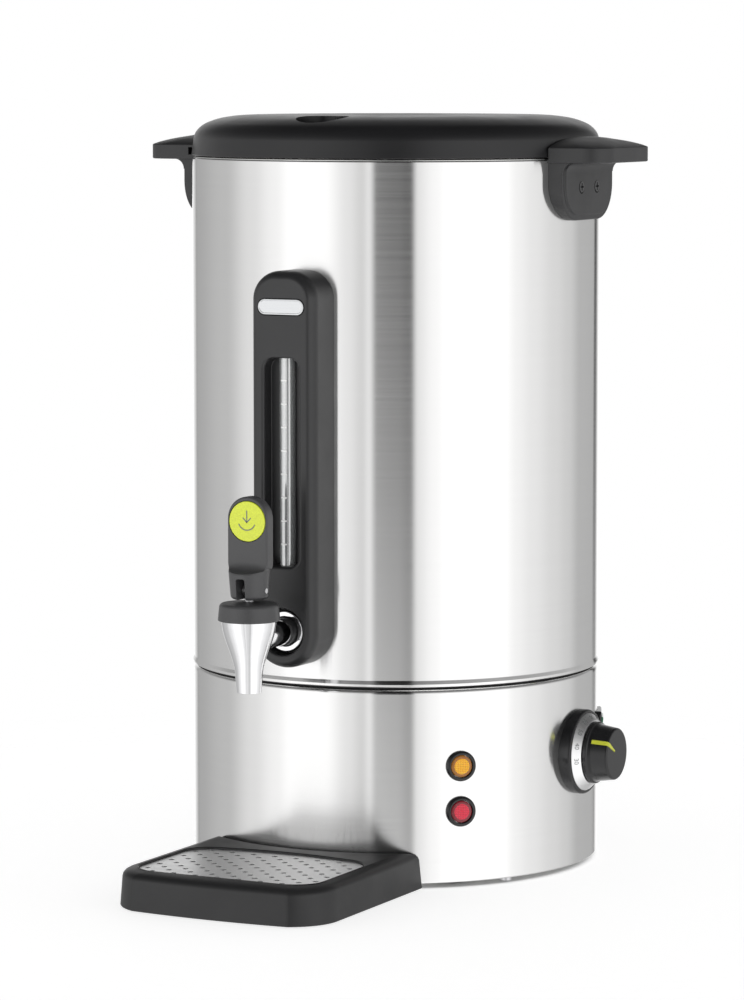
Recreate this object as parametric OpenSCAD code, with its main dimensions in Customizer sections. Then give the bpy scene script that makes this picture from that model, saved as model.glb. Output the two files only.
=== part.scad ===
// Hot beverage boiler: a double-walled steel drum on a heated base, with a
// lever tap, a sight glass panel, a bayonet lid and a loose drip tray.
// Millimetres. The origin lies on the drum's axis at table level, Z is up
// and the tap points to -Y. Azimuths start at the tap and grow towards +X.

/* [Drum] */
// Outer diameter of the drum
drum_d = 246; // [242:1:250]
// Gap between the table and the lower rim
rim_gap = 3.5; // [3:0.5:5]
// Height of the base shell
base_h = 115; // [112:1:120]
// Height of the upper shell
shell_h = 305; // [295:1:315]
// Sheet thickness of both shells
sheet_t = 1; // [0.8:0.1:1.2]
// Width of the lips that are turned in at the shell edges
lip_w = 9; // [8:0.5:10]
// Radius of the base shell's rounded shoulder
shoulder_r = 3.5; // [2.5:0.5:4.5]
// How far the upper shell's lower bead stands out
bead = 0.8; // [0.4:0.1:1.2]
// Thickness of the seal between the two shells
seam_t = 0.6; // [0.4:0.1:1]

/* [Tank] */
// Outer diameter of the inner tank
tank_d = 226; // [222:1:228]
// Sheet thickness of the tank
tank_t = 1; // [0.8:0.1:1.2]
// Height of the tank's floor above the seam
tank_rise = 17.5; // [16:0.5:19]
// Radius between the tank's floor and its wall
tank_r = 8; // [6:1:12]
// Thickness of the tank's top flange
flange_t = 0.9; // [0.8:0.1:1.2]

/* [Lid] */
// Height of the lid
lid_h = 24.5; // [23:0.5:27]
// Gap between the tank flange and the lid's rim
lid_gap = 0.5; // [0.4:0.1:0.8]
// Wall thickness of the lid moulding
lid_t = 3; // [2.5:0.25:3.5]
// Diameter of the steam recess
steam_d = 31; // [28:1:34]
// Distance of the steam recess from the drum's axis
steam_y = 96; // [92:1:97]
// Depth of the steam recess
steam_depth = 6; // [4:0.5:7]
// Diameter of the steam holes
steam_hole_d = 4.5; // [3:0.5:5]
// Angle that each lid lug spans
lug_angle = 10; // [8:1:12]
// Height of the lid lugs
lug_h = 3.6; // [3:0.2:4]
// How far the lid lugs stand out of the rim
lug_w = 4; // [3.5:0.25:4.5]

/* [Handles] */
// Width of a handle across its wing
wing_w = 76; // [70:1:80]
// How far the wing reaches out of the drum
wing_reach = 30.5; // [28:0.5:33]
// Thickness of the wing at its edge
wing_t = 9; // [8:0.5:10]
// How much the wing's top is crowned
wing_crown = 6; // [4:0.5:7]
// Radius of the wing's outer corners
wing_r = 12; // [9:1:15]
// How far the wing's underside lies below the tank flange
wing_drop = 3.5; // [3:0.25:4]
// Height of the bracket below the wing
bracket_h = 34.5; // [32:0.5:38]
// Radius of the bracket's lower corners
bracket_r = 21; // [16:1:24]
// How far the bracket's face stands out of the drum
bracket_reach = 4.6; // [4.2:0.2:5.4]
// Radius of the blend between the wing and the bracket
blend_r = 6; // [4:0.5:8]
// Distance between a handle's two screws
screw_pitch = 22; // [18:1:26]
// Depth of the screws below the wing
screw_drop = 13.5; // [12:0.5:15]

/* [Front panel] */
// Width of the panel
panel_w = 43; // [41:1:46]
// Height of the panel
panel_h = 230; // [226:1:236]
// How far the panel's face stands out of the drum
panel_reach = 25; // [24:0.5:27]
// Height of the panel's foot above the seam seal
panel_rise = 12.4; // [11:0.2:14]
// Radius of the panel's upper corners
panel_top_r = 15.5; // [12:0.5:19]
// Radius of the panel's front edge
panel_edge = 3; // [2:0.5:4]
// Wall thickness of the panel
panel_t = 2; // [1.75:0.25:2.25]
// Width of the window recess
window_w = 21.5; // [20:0.5:23]
// Height of the window recess
window_h = 120.5; // [116:0.5:122]
// Height of the window's lower edge above the panel's foot
window_rise = 59.5; // [58:0.5:62]
// Corner radius of the window recess
window_r = 6.5; // [4:0.5:8]
// Depth of the window recess
window_depth = 9.5; // [8:0.5:10]
// Width of the badge plate
badge_w = 31.5; // [28:0.5:34]
// Height of the badge plate
badge_h = 11; // [9:0.5:12]
// Thickness of the badge plate
badge_t = 1.3; // [1:0.1:1.5]
// Distance of the badge's centre below the panel's top
badge_drop = 21; // [19:0.5:23]

/* [Sight glass] */
// Outer diameter of the glass tube
glass_d = 9.6; // [9:0.2:10]
// Wall thickness of the glass tube
glass_t = 1.4; // [1:0.1:1.6]
// How far the tube's axis stands out of the drum
glass_reach = 16.5; // [16:0.25:17]
// Height of each tube fitting
fitting_h = 13; // [12:0.5:14]

/* [Tap] */
// How far the tap's axis stands out of the drum
tap_reach = 64; // [60:1:68]
// Height of the tap's arm above the nozzle's mouth
nozzle_drop = 30; // [27:0.5:33]
// Height of the funnel's top above the tap's arm
funnel_rise = 11.3; // [11:0.1:13]
// Radius of the nozzle's mouth
mouth_r = 7.3; // [6.8:0.1:7.8]
// Radius of the funnel's top
funnel_r = 15.7; // [15:0.1:16.5]
// Diameter of the outlet bore
outlet_d = 10; // [9:0.5:11]
// Radius of the tap cap's skirt
cap_r = 17.9; // [17:0.1:19]
// Height of the tap cap
cap_h = 10; // [9:0.5:11]
// Diameter of the tap's arm
arm_d = 15; // [14.6:0.2:15.6]
// Diameter of the threaded shank
shank_d = 12; // [11:0.25:12.25]
// Diameter of the shank's chrome nut
nut_d = 24; // [22:0.5:25]
// Lift of the valve when the tap is open
valve_lift = 4; // [3.5:0.25:4.5]
// Diameter of the valve stem
stem_d = 5.2; // [4.8:0.1:5.4]

/* [Lever] */
// Width of the lever's paddle
pad_w = 25.7; // [24:0.25:27]
// Thickness of the lever's paddle
pad_t = 8; // [7:0.25:9]
// Height of the lever
lever_h = 58.6; // [55:0.5:62]
// Diameter of the lever's round skirt at its heel
heel_d = 22; // [20:0.5:23]
// Diameter of the lever's round skirt under the paddle
skirt_d = 25.1; // [24:0.25:25.5]
// Gap between the tap cap and the lever's heel
heel_gap = 2.3; // [2.2:0.1:3]
// Height of the lever pin above the heel
pin_rise = 5.2; // [5:0.1:5.6]
// Diameter of the lever pin
pin_d = 3; // [2.5:0.1:3.4]
// Width of the slot that takes the stem
slot_w = 6; // [5.8:0.1:6.6]
// Diameter of the coloured disc
disc_d = 23; // [20:0.25:23.5]

/* [Drip tray] */
// Width of the tray at its foot
tray_w = 137; // [132:1:142]
// How far the tray reaches out of the drum
tray_reach = 116; // [110:1:122]
// Height of the tray's outer edge
tray_h = 21; // [19:0.5:23]
// How far the tray's lip rises above its outer edge
tray_crown = 2; // [1:0.25:2.5]
// How much the tray's front bows out
tray_bow = 5; // [3:0.5:7]
// Radius of the tray's front corners
tray_r = 26; // [22:1:30]
// Wall thickness of the tray
tray_t = 2.2; // [2:0.1:2.6]
// Width of the grid opening
grid_w = 116; // [110:1:120]
// Depth of the grid opening from front to back
grid_d = 80; // [74:1:84]
// Distance of the grid opening from the tray's front
grid_inset = 14; // [12:0.5:16]
// Thickness of the grid plate
grid_t = 1.2; // [1:0.1:1.5]
// Diameter of the drain holes
drain_d = 3.4; // [2.8:0.1:4]
// Spacing of the drain hole rows
drain_pitch = 7; // [6.5:0.25:8]

/* [Controls] */
// Height of the thermostat knob's axis
knob_z = 71; // [68:1:74]
// Diameter of the black bezel round the dial
bezel_d = 50.6; // [48:0.2:53]
// How far the bezel stands out of the drum
bezel_reach = 5; // [4:0.25:6]
// Outer diameter of the dial ring
dial_d = 46.4; // [44:0.2:48]
// Diameter of the knob's skirt
knob_d = 37; // [34:0.5:38]
// Diameter of the knob's face
knob_face_d = 30.6; // [28:0.2:33]
// How far the knob's face stands out of the drum
knob_reach = 24.3; // [22:0.1:27]
// Azimuth of the rocker switch
rocker_azimuth = 114; // [112:1:120]
// Height of the rocker switch's centre
rocker_z = 73; // [70:1:76]
// Width of the rocker switch's frame
rocker_w = 25; // [23:0.5:27]
// Height of the rocker switch's frame
rocker_h = 32; // [30:0.5:34]
// Azimuth of the two lamps
lamp_azimuth = 44.5; // [40:0.5:50]
// Height of the lower lamp
lamp_z = 45.5; // [42:0.5:50]
// Distance between the two lamps
lamp_pitch = 26.8; // [24:0.2:30]
// Diameter of a lamp's bezel
lamp_d = 18; // [16:0.5:19]
// Height of the cable gland's axis
gland_z = 30; // [26:1:36]

/* [Base] */
// Diameter of a foot
foot_d = 22; // [18:1:24]
// Distance of the feet from the drum's axis
foot_ring = 98; // [94:1:100]
// Thickness of the bottom plate
floor_t = 1.2; // [1:0.1:1.5]
// Diameter of the heating plate
heater_d = 150; // [130:2:156]
// Thickness of the heating plate
heater_t = 5; // [4:0.5:6]
// Distance of the tie rods from the drum's axis
rod_ring = 86; // [84:1:90]

/* [Fits] */
// Gap between fixed pieces that nest in each other
fit = 0.1; // [0.05:0.05:0.15]
// Gap between pieces that move past each other
play = 0.3; // [0.25:0.05:0.4]
// Gap between a pin and its running bore
running = 0.05; // [0.03:0.01:0.08]

/* [Hidden] */
$fn = 96;

// A cut reaches this far past the face that it opens
over = 1;
drum_r = drum_d / 2;
inner_r = drum_r - sheet_t;
lip_r = drum_r - lip_w;
seam_z = rim_gap + base_h;
shell_z = seam_z + seam_t;
rim_z = shell_z + shell_h;
flange_z = rim_z + flange_t;
lid_z = flange_z + lid_gap;
lid_top = lid_z + lid_h;

tank_outer = tank_d / 2;
tank_inner = tank_outer - tank_t;
tank_z = seam_z + tank_rise;

lid_rim_r = drum_r + 0.3;
seal_r = tank_inner - 2;
seal_w = 6;
// Bends of the lid's shoulder: radius and the angle at which each starts
lid_bends = [[10, 4], [16, 40], [45, 66], [100, 80]];
lid_bend_end = 89.5;
lid_grip_r = 40;
lid_grip_h = 0.4;
lid_dish = 0.8;
lid_flat_r = 72;
shoulder_shift = lid_top - lid_grip_h - bend_centre(3)[1] - lid_bends[3][0] * sin(lid_bend_end);
// Where the first lug starts, how far the lid turns, and the handle slot that this needs
lug_start = 2;
lid_turn = 25;
slot_angle = 2 * lug_start + lug_angle + lid_turn + 1;
boss_ring = 82;
boss_r = 4.5;
boss_angles = [45 : 90 : 315];
liner_z = lid_z - 5.5;
liner_t = 1.2;
liner_r = seal_r - 4;
steam_floor = lid_top - 1.6 - steam_depth;

wing_z = flange_z - wing_drop;
wing_top = wing_z + wing_t;
bracket_x = drum_r + bracket_reach;
bracket_z = wing_z - bracket_h;
bracket_half = wing_w / 2 - 1.5;
screw_z = wing_z - screw_drop;
handle_nut_t = 3.2;
handle_nut_x = inner_r - 4.6;
screw_d = 3.9;
screw_head_d = 6.6;
screw_head_t = 2.2;
field_t = 1.2;

panel_z = shell_z + panel_rise;
panel_top = panel_z + panel_h;
panel_face = drum_r + panel_reach;
panel_back = drum_r - 5;
tap_z = panel_z + panel_w / 2;
window_z = panel_z + window_rise;
badge_z = panel_top - badge_drop;
badge_recess = 1;
badge_edge = 0.5;
field_inset = 3.2;
field_side = 3.5;
glass_y = drum_r + glass_reach;
collar_r = glass_d / 2 + 1.5;
lower_fitting_z = window_z - panel_t - fitting_h - 1;
upper_fitting_z = window_z + window_h + panel_t + 1;
branch_d = 8;
branch_z = fitting_h / 2;
branch_nut_r = 7.5;
branch_nut_t = 5;
glass_seat = 3;
seal_t = 0.8;
panel_screw_z = upper_fitting_z + fitting_h + 6;
panel_boss_r = 4;
panel_pilot_r = 1.3;

tap_y = drum_r + tap_reach;
mouth_z = tap_z - nozzle_drop;
nozzle_z = mouth_z + 9;
nozzle_r = mouth_r + 0.6;
funnel_z = tap_z + funnel_rise;
seat_z = tap_z - 7;
shank_hole_r = shank_d / 2 + 0.2;
chamber_r = 9.5;
neck_r = cap_r - 4.3;
neck_h = 5.5;
cap_z = funnel_z + 0.2;
cap_top = cap_z + cap_h;
cap_crown = 1;
chamber_top = cap_top - 2.5;
nut_t = 8;
nut_edge = 2.5;
nut_well_r = nut_d / 2 + 1.8;
nut_seat = panel_face - 12;
nut_face = nut_seat + nut_t;
sleeve_t = 6;
sleeve_face = nut_face + sleeve_t;
shank_bore = 8;
shank_tip = sleeve_face + 7;
shank_tail = tank_inner - 13;
washer_t = 2;
washer_r = 9;
tank_nut_r = 10.4;
tank_nut_t = 6;
// Height of the tank wall that a tap washer is cut to
washer_zone = 20;
cup_h = 6.4;
cup_r = 8.2;
spring_seat = seat_z + 8;
spring_foot = spring_seat + 0.1;
spring_top = chamber_top - valve_lift - 0.4;
spring_wire = 1;
spring_r = 4.3;
spring_turns = 6;
spring_steps = 18;
spring_sides = 6;
// Rise of the closed turn at each end of the spring
spring_end = 1.45;

heel_z = cap_top + heel_gap;
pin_z = heel_z + pin_rise;
lever_top = heel_z + lever_h;
pad_r = pad_w / 2;
pad_front = 2;
pad_edge = 1.2;
heel_round = 2.5;
brim_z = heel_z + 15;
root_z = brim_z + 6;
slot_top = heel_z + 12.4;
disc_z = lever_top - pad_r - 1.2;
disc_t = 1.6;
disc_recess = 1.2;
eye_r = stem_d / 2 + 0.8;

tray_z = 0.5;
tray_gap = 0.6;
tray_front = drum_r + tray_reach;
tray_back = 100;
tray_draft = 1.2;
tray_floor = tray_z + 3;
tongue_w = 80;
tongue_t = 2;
tongue_y = 88;
tongue_z = tray_z + 0.5;
grid_top = tray_h + 0.5;
grid_r = 17;
grid_bow = 4;
grid_bow_r = (pow(grid_w / 2 - grid_r, 2) + pow(grid_bow, 2)) / (2 * grid_bow);
grid_ledge = 3;
grid_margin = 5;
grid_play = 0.4;
ledge_z = grid_top - grid_t - fit;

dial_rise = 4.6;
dial_z = drum_r + bezel_reach;
knob_inner = dial_z + dial_rise;
knob_tip = drum_r + knob_reach;
dial_seat = drum_r + 2.6;
shaft_d = 6;
hub_r = shaft_d / 2 + 3;
shaft_grip = 6;
thermostat_front = inner_r - 7;
thermostat_depth = 24;
thermostat_back = thermostat_front - thermostat_depth;
shaft_depth = 13;
thermostat_w = 36;
strap_w = 22;
strap_h = 44;
strap_t = 1.5;
bush_r = 5.4;
sensor_reach = 14;
sensor_x = thermostat_back - sensor_reach;
sensor_y = 10;
sensor_z = knob_z + 1;
tube_r = 1;
tube_bend = 8;
bulb_r = 2.9;
bulb_l = 56;
plate_z = rim_gap + sheet_t;
deck_z = plate_z + floor_t;
heater_z = tank_z - heater_t;
bulb_z = heater_z - bulb_r - fit;
element_r = 4;
element_ring = 52;
element_gap = 30;
cold_end = 16;
cutout_r = 10;
cutout_h = 9;
terminal_x = -40;
terminal_y = 42;
terminal_w = 48;
terminal_d = 18;
terminal_base = 8;
terminal_h = 17;
terminal_wire_z = 12;
terminal_wire_r = 1.7;
terminal_screw_r = 2.1;
post_w = 7;
post_pitch = 12;
post_inset = 2;
posts = 4;
gland_r = 8;
gland_bore_r = 4.4;
gland_hex_r = 12.7;
gland_hex_t = 5;
gland_cap_r = 10.4;
gland_cap_t = 6;
gland_nose_r = 6.6;
gland_nose_t = 5;
locknut_r = 12;
locknut_t = 4.6;
rod_r = 2.5;
rod_head_r = 6;
rod_nut_r = 4.6;
rod_nut_t = 4;
rod_angles = [30, 150, 270];
foot_pin_r = 3;
foot_angles = [45 : 90 : 315];
foot_neck_r = 3.8;
foot_tip = 4;
plate_screw_ring = lip_r + 4;
plate_screw_angles = [60, 150, 210, 300];
plate_screw_r = 1.6;
// Angle of the knob's pointer above the horizontal, towards the front
pointer_angle = 31;
// Distance of the rocker's hinge axis from the drum's axis, and its tilt when switched on
rocker_hinge = drum_r - 3;
rocker_tilt = 9;
switch_wall = 0.9;
switch_front = drum_r - 0.5;
switch_back = inner_r - 28;
switch_w = rocker_w - 5.4;
switch_h = rocker_h - 5.4;
// Side of the rocker about its hinge: reach of the wings, of the waist and of the root
button_half = 11.6;
button_wing = 8.6;
button_waist = 5.6;
button_root = 4;
lamp_lens_r = lamp_d / 2 - 2.4;
lamp_seat = drum_r - 3;
lamp_back = drum_r - 24;
lamp_tab = [0.8, 3, 8];
lamp_rim_t = 2.8;

// Points of an arc about (cx, cz), from angle a to angle b in n steps
function arc(cx, cz, r, a, b, n) =
  [for (i = [0 : n]) let (t = a + (b - a) * i / n) [cx + r * cos(t), cz + r * sin(t)]];

// Smooth step from 0 to 1
function ease(t) = t * t * (3 - 2 * t);

// Turns what is built at the tap's side to an azimuth
module at_azimuth(a) rotate([0, 0, a]) children();

// Lays what is built along +Z along -Y, its foot at the drum's axis
module forward() rotate([90, 0, 0]) children();

// Lays what is built along +Z along +X
module sideways() rotate([0, 90, 0]) children();

// Ring or disc by its radii and its lower and upper ends
module ring(r, hole, low, high)
  translate([0, 0, low]) linear_extrude(high - low) difference() {
    circle(r);
    circle(hole);
  }

// Cylinder on the Z axis between two heights
module rod(r, low, high) translate([0, 0, low]) cylinder(r = r, h = high - low);

// Drum body that curved pieces are cut to, finely divided
module drum_cut(r, low, high) translate([0, 0, low]) cylinder(r = r, h = high - low, $fn = 720);

// Rectangle with round corners, centred
module round_rect(w, h, r) {
  square([w - 2 * r, h], center = true);
  square([w, h - 2 * r], center = true);
  for (x = [-1, 1], y = [-1, 1]) translate([x * (w / 2 - r), y * (h / 2 - r)]) circle(r);
}

// Half section of a disc whose front edge is rounded
module edge_profile(r, depth, edge) {
  square([r, depth - edge]);
  square([r - edge, depth]);
  translate([r - edge, depth - edge]) circle(edge);
}

// Disc facing -Y with a rounded front edge
module soft_disc(r, depth, edge) forward() rotate_extrude() edge_profile(r, depth, edge);

// Upright bar facing -Y with rounded front edges
module soft_bar(r, depth, edge, height)
  rotate([0, 0, 180]) linear_extrude(height) {
    edge_profile(r, depth, edge);
    mirror([1, 0]) edge_profile(r, depth, edge);
  }

// Level bar along X facing -Y, round along its upper front edge
module soft_strip(r, depth, edge, length)
  translate([-length / 2, 0, 0]) rotate([0, -90, 180]) linear_extrude(length)
    edge_profile(r, depth, edge);

// Tall slab facing -Y, with a half round foot and a flattened arch at the top
module soft_slab(half, low, high, top_r, depth, edge) {
  translate([0, 0, low + half]) soft_disc(half, depth, edge);
  translate([0, 0, low + half]) soft_bar(half, depth, edge, high - low - half - top_r);
  for (x = [-1, 1]) translate([x * (half - top_r), 0, high - top_r])
    soft_disc(top_r, depth, edge);
  translate([0, 0, high - top_r]) soft_strip(top_r, depth, edge, 2 * (half - top_r));
}

// Section of a drum from its axis to r, with a rounded upper edge
module drum_section(r, low, high, edge) {
  translate([0, low]) square([r, high - low - edge]);
  translate([0, low]) square([r - edge, high - low]);
  translate([r - edge, high - edge]) circle(edge);
}

// Lower shell of the base, with its controls cut in
module base_shell() color("silver") difference() {
  rotate_extrude(convexity = 6) {
    difference() {
      drum_section(drum_r, rim_gap, seam_z, shoulder_r);
      drum_section(inner_r, rim_gap - over, seam_z - sheet_t, shoulder_r - sheet_t);
      square([lip_r, seam_z + over]);
    }
    translate([lip_r, rim_gap]) square([lip_w - sheet_t / 2, sheet_t]);
  }
  translate([0, 0, knob_z]) sideways() rod(shaft_d, lip_r, drum_r + over);
  at_azimuth(rocker_azimuth) translate([0, -drum_r, rocker_z])
    cube([rocker_w - 5, 3 * lip_w, rocker_h - 5], center = true);
  at_azimuth(lamp_azimuth) for (i = [0, 1]) translate([0, 0, lamp_z + i * lamp_pitch])
    forward() rod(lamp_lens_r + fit, lip_r, drum_r + over);
  at_azimuth(180) translate([0, 0, gland_z]) forward() rod(gland_r + fit, lip_r, drum_r + over);
  for (a = plate_screw_angles) at_azimuth(a) translate([0, -plate_screw_ring, 0])
    rod(plate_screw_r + fit, 0, rim_gap + 2 * sheet_t);
}

// Holes through a wall for the tap's shank and the two gauge branches
module wall_holes(low, high) {
  translate([0, 0, tap_z]) forward() rod(shank_hole_r, low, high);
  for (z = [lower_fitting_z, upper_fitting_z]) translate([0, 0, z + branch_z])
    forward() rod(branch_d / 2 + 0.2, low, high);
}

// Outer shell of the drum, rolled in at both edges and beaded at the foot
module outer_shell() color("silver") difference() {
  rotate_extrude(convexity = 6) {
    difference() {
      drum_section(drum_r, shell_z, rim_z, 1.8);
      drum_section(inner_r, shell_z + sheet_t, rim_z - sheet_t, 0.8);
      square([lip_r, rim_z + over]);
    }
    translate([inner_r, shell_z]) polygon([
      [0, 0], [sheet_t + bead, 0.4], [sheet_t + bead, 2.2], [sheet_t, 4.4], [0, 4.4]
    ]);
  }
  wall_holes(lip_r, drum_r + over);
  translate([0, 0, panel_screw_z]) forward() rod(1.7, lip_r, drum_r + over);
  for (s = [0, 180]) rotate([0, 0, s]) for (y = [-1, 1])
    translate([0, y * screw_pitch / 2, screw_z]) sideways()
      rod(screw_d / 2 + 0.2, lip_r, drum_r + over);
}

// Thin black seal in the seam between the shells
module seam_seal() color("black") ring(drum_r - 0.9, lip_r + 1, seam_z, shell_z);

// Inner tank with a flange that rests on the outer shell
module inner_tank() color("gainsboro") difference() {
  rotate_extrude(convexity = 6) {
    difference() {
      mirror([0, 1]) drum_section(tank_outer, -flange_z, -tank_z, tank_r);
      mirror([0, 1]) drum_section(tank_inner, -flange_z - over, -tank_z - tank_t, tank_r - tank_t);
    }
    translate([tank_inner, rim_z]) square([drum_r - 0.7 - tank_inner, flange_t]);
  }
  wall_holes(tank_inner - lip_w, tank_outer + over);
}

// Round plate that closes the base from below, with vents
module bottom_plate() color("darkgray") translate([0, 0, plate_z]) linear_extrude(floor_t)
  difference() {
    circle(inner_r - fit);
    for (a = foot_angles) rotate(a) translate([0, -foot_ring]) circle(foot_pin_r + fit);
    for (a = rod_angles) rotate(a) translate([0, -rod_ring]) circle(rod_r + fit);
    for (a = plate_screw_angles) rotate(a) translate([0, -plate_screw_ring]) circle(plate_screw_r + fit);
    for (a = [0 : 60 : 300], x = [-8, 0, 8]) rotate(a) translate([x, -50])
      round_rect(3, 26, 1.4);
  }

// Four rubber feet, pushed into the bottom plate
module feet() color("dimgray") for (a = foot_angles) at_azimuth(a)
  translate([0, -foot_ring, 0]) rotate_extrude() polygon([
    [0, 0], [foot_d / 2 - 2.5, 0], [foot_d / 2 - 0.6, 1], [foot_d / 2, plate_z],
    [foot_pin_r, plate_z], [foot_pin_r, deck_z], [foot_neck_r, deck_z],
    [foot_neck_r - 1.4, deck_z + foot_tip], [0, deck_z + foot_tip]
  ]);

// Screws that hold the bottom plate to the base shell
module plate_screws() color("silver") for (a = plate_screw_angles) at_azimuth(a)
  translate([0, -plate_screw_ring, 0]) {
    rod(3.3, rim_gap - 2, rim_gap);
    rod(plate_screw_r, rim_gap, deck_z + 6);
  }

// Tie rods with their nuts, which clamp the base to the tank
module tie_rods() color("silver") for (a = rod_angles) at_azimuth(a)
  translate([0, -rod_ring, 0]) {
    rod(rod_r, plate_z - 3, tank_z);
    rod(rod_head_r, tank_z - 1, tank_z);
    translate([0, 0, plate_z - 2.8]) cylinder(r = rod_nut_r, h = 2.8, $fn = 6);
    translate([0, 0, deck_z]) cylinder(r = rod_nut_r, h = rod_nut_t, $fn = 6);
  }

// Aluminium plate that spreads the heat under the tank
module heating_plate() color("lightgray") difference() {
  rod(heater_d / 2, heater_z, tank_z);
  rod(cutout_r + 1, heater_z - over, heater_z + 1.5);
}

// Tubular heating element with its two cold ends
module heating_element() color("dimgray") translate([0, 0, heater_z - element_r]) {
  rotate([0, 0, element_gap]) rotate_extrude(angle = 360 - 2 * element_gap)
    translate([element_ring, 0]) circle(element_r);
  for (a = [-element_gap, element_gap]) rotate([0, 0, a]) translate([element_ring, 0, 0]) {
    sphere(element_r);
    rod(element_r, -cold_end, 0);
    rod(1.6, -cold_end - 10, -cold_end);
  }
}

// Cut-out that opens when the boiler runs dry
module thermal_cutout() color("tan") translate([0, 0, heater_z]) {
  rod(cutout_r, -cutout_h, 1.5);
  rod(cutout_r + 3, -6, -4.5);
  for (x = [-5, 5]) translate([x, 0, -cutout_h - 3.5]) cube([1, 6, 7], center = true);
}

// Puts a copy at each post of the terminal block
module at_posts() for (i = [0 : posts - 1])
  translate([(i - (posts - 1) / 2) * post_pitch, 0, 0]) children();

// Terminal block on the bottom plate
module terminal_block() color("ivory") translate([terminal_x, terminal_y, deck_z]) difference() {
  post_d = terminal_d - 2 * post_inset;
  union() {
    translate([-terminal_w / 2, -terminal_d / 2, 0]) cube([terminal_w, terminal_d, terminal_base]);
    at_posts() translate([-post_w / 2, -post_d / 2, 0]) cube([post_w, post_d, terminal_h]);
  }
  at_posts() {
    rod(terminal_screw_r, terminal_base + 1, terminal_h + over);
    translate([0, 0, terminal_wire_z]) forward()
      rod(terminal_wire_r, -terminal_d / 2 - over, terminal_d / 2 + over);
  }
}

// Cable gland at the rear of the base, its bore open
module cable_gland() color("black") at_azimuth(180) translate([0, 0, gland_z])
  forward() difference() {
    union() {
      rod(gland_r, drum_r - 15, drum_r + 1);
      translate([0, 0, drum_r + fit]) cylinder(r = gland_hex_r, h = gland_hex_t - fit, $fn = 6);
      rod(gland_cap_r, drum_r + gland_hex_t, drum_r + gland_hex_t + gland_cap_t);
      translate([0, 0, drum_r + gland_hex_t + gland_cap_t])
        cylinder(r1 = gland_cap_r, r2 = gland_nose_r, h = gland_nose_t);
    }
    rod(gland_bore_r, drum_r - 20, drum_r + 20);
  }

// Nut that holds the gland from inside
module gland_locknut() color("black") at_azimuth(180) translate([0, 0, gland_z])
  forward() difference() {
    translate([0, 0, inner_r - locknut_t - 0.6]) cylinder(r = locknut_r, h = locknut_t, $fn = 6);
    rod(gland_r + fit, inner_r - locknut_t - over, inner_r);
  }

// Centre of a bend, each one tangent to the bend before
function bend_centre(i) = i == 0
  ? [lid_rim_r - 1.2 - lid_bends[0][0] * cos(lid_bends[0][1]), 0]
  : bend_centre(i - 1) + (lid_bends[i - 1][0] - lid_bends[i][0])
    * [cos(lid_bends[i][1]), sin(lid_bends[i][1])];

// Points of the bends, drawn in by t
function lid_shoulder(t) = [for (i = [0 : 3]) let (c = bend_centre(i),
  a = lid_bends[i][1], b = i < 3 ? lid_bends[i + 1][1] : lid_bend_end)
  each arc(c[0], c[1] + shoulder_shift, lid_bends[i][0] - t, a, b, 5)];

// Height of the lid's top above its flat: a low ring round a shallow dish
function lid_relief(r) = lid_grip_h * max(0, 1 - pow((r - lid_grip_r) / 16, 2))
  - (r < lid_grip_r ? lid_dish * (1 - pow(r / lid_grip_r, 2)) : 0);

// Half outline of the lid's dome from its rim to its middle, drawn in by t
function lid_outline(t) = concat(
  [[0, lid_z - (t > 0 ? over : 0)], [lid_rim_r - t, lid_z - (t > 0 ? over : 0)]],
  lid_shoulder(t),
  [for (r = [lid_flat_r : -8 : 0]) [r, lid_top - lid_grip_h - t + (t > 0 ? -0.4 : lid_relief(r))]]
);

// Lid moulding: dome, hanging rim, steam recess and two bayonet lugs
module lid_shell() color([0.13, 0.13, 0.14]) {
  difference() {
    rotate_extrude(convexity = 6) difference() {
      polygon(lid_outline(0));
      polygon(lid_outline(lid_t));
    }
    translate([0, -steam_y, 0]) rod(steam_d / 2, lid_top - 20, lid_top + over);
  }
  difference() {
    intersection() {
      union() {
        translate([0, -steam_y, 0]) rod(steam_d / 2 + 1.8, steam_floor - 2, lid_top);
        for (a = boss_angles) at_azimuth(a) translate([0, -boss_ring, 0])
          rod(boss_r, liner_z + liner_t, lid_top);
      }
      rotate_extrude() polygon(lid_outline(0));
    }
    translate([0, -steam_y, 0]) rod(steam_d / 2, steam_floor, lid_top + over);
    for (x = [-1 : 1], y = [-0.5, 0.5]) translate([x * 8, y * 8 - steam_y, 0])
      rod(steam_hole_d / 2, lid_z, lid_top);
    for (a = boss_angles) at_azimuth(a) translate([0, -boss_ring, 0])
      rod(1.3, lid_z - 6, lid_z + 6);
  }
  for (s = [0, 180]) rotate([0, 0, s + lug_start]) translate([0, 0, lid_z + play])
    rotate_extrude(angle = lug_angle) translate([lid_rim_r - 2, 0]) square([lug_w + 2, lug_h]);
}

// Steel pan that closes the lid from below and lets the steam through
module lid_liner() color("gainsboro") difference() {
  union() {
    ring(seal_r + seal_w - 0.5, liner_r, lid_z + 1, lid_z + 1 + liner_t);
    ring(liner_r, liner_r - liner_t, liner_z, lid_z + 1 + liner_t);
    rod(liner_r, liner_z, liner_z + liner_t);
  }
  for (x = [-1 : 1], y = [-0.5, 0.5]) translate([x * 8, y * 8 - steam_y + 8, 0])
    rod(2.5, liner_z - over, liner_z + 2 * liner_t);
  for (a = boss_angles) at_azimuth(a) translate([0, -boss_ring, 0])
    rod(1.7, liner_z - over, liner_z + 2 * liner_t);
}

// Screws that hold the liner to the lid
module lid_screws() color("silver") for (a = boss_angles) at_azimuth(a)
  translate([0, -boss_ring, 0]) {
    rod(3.2, liner_z - 1.8, liner_z);
    rod(1.25, liner_z, lid_z + 5);
  }

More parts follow.
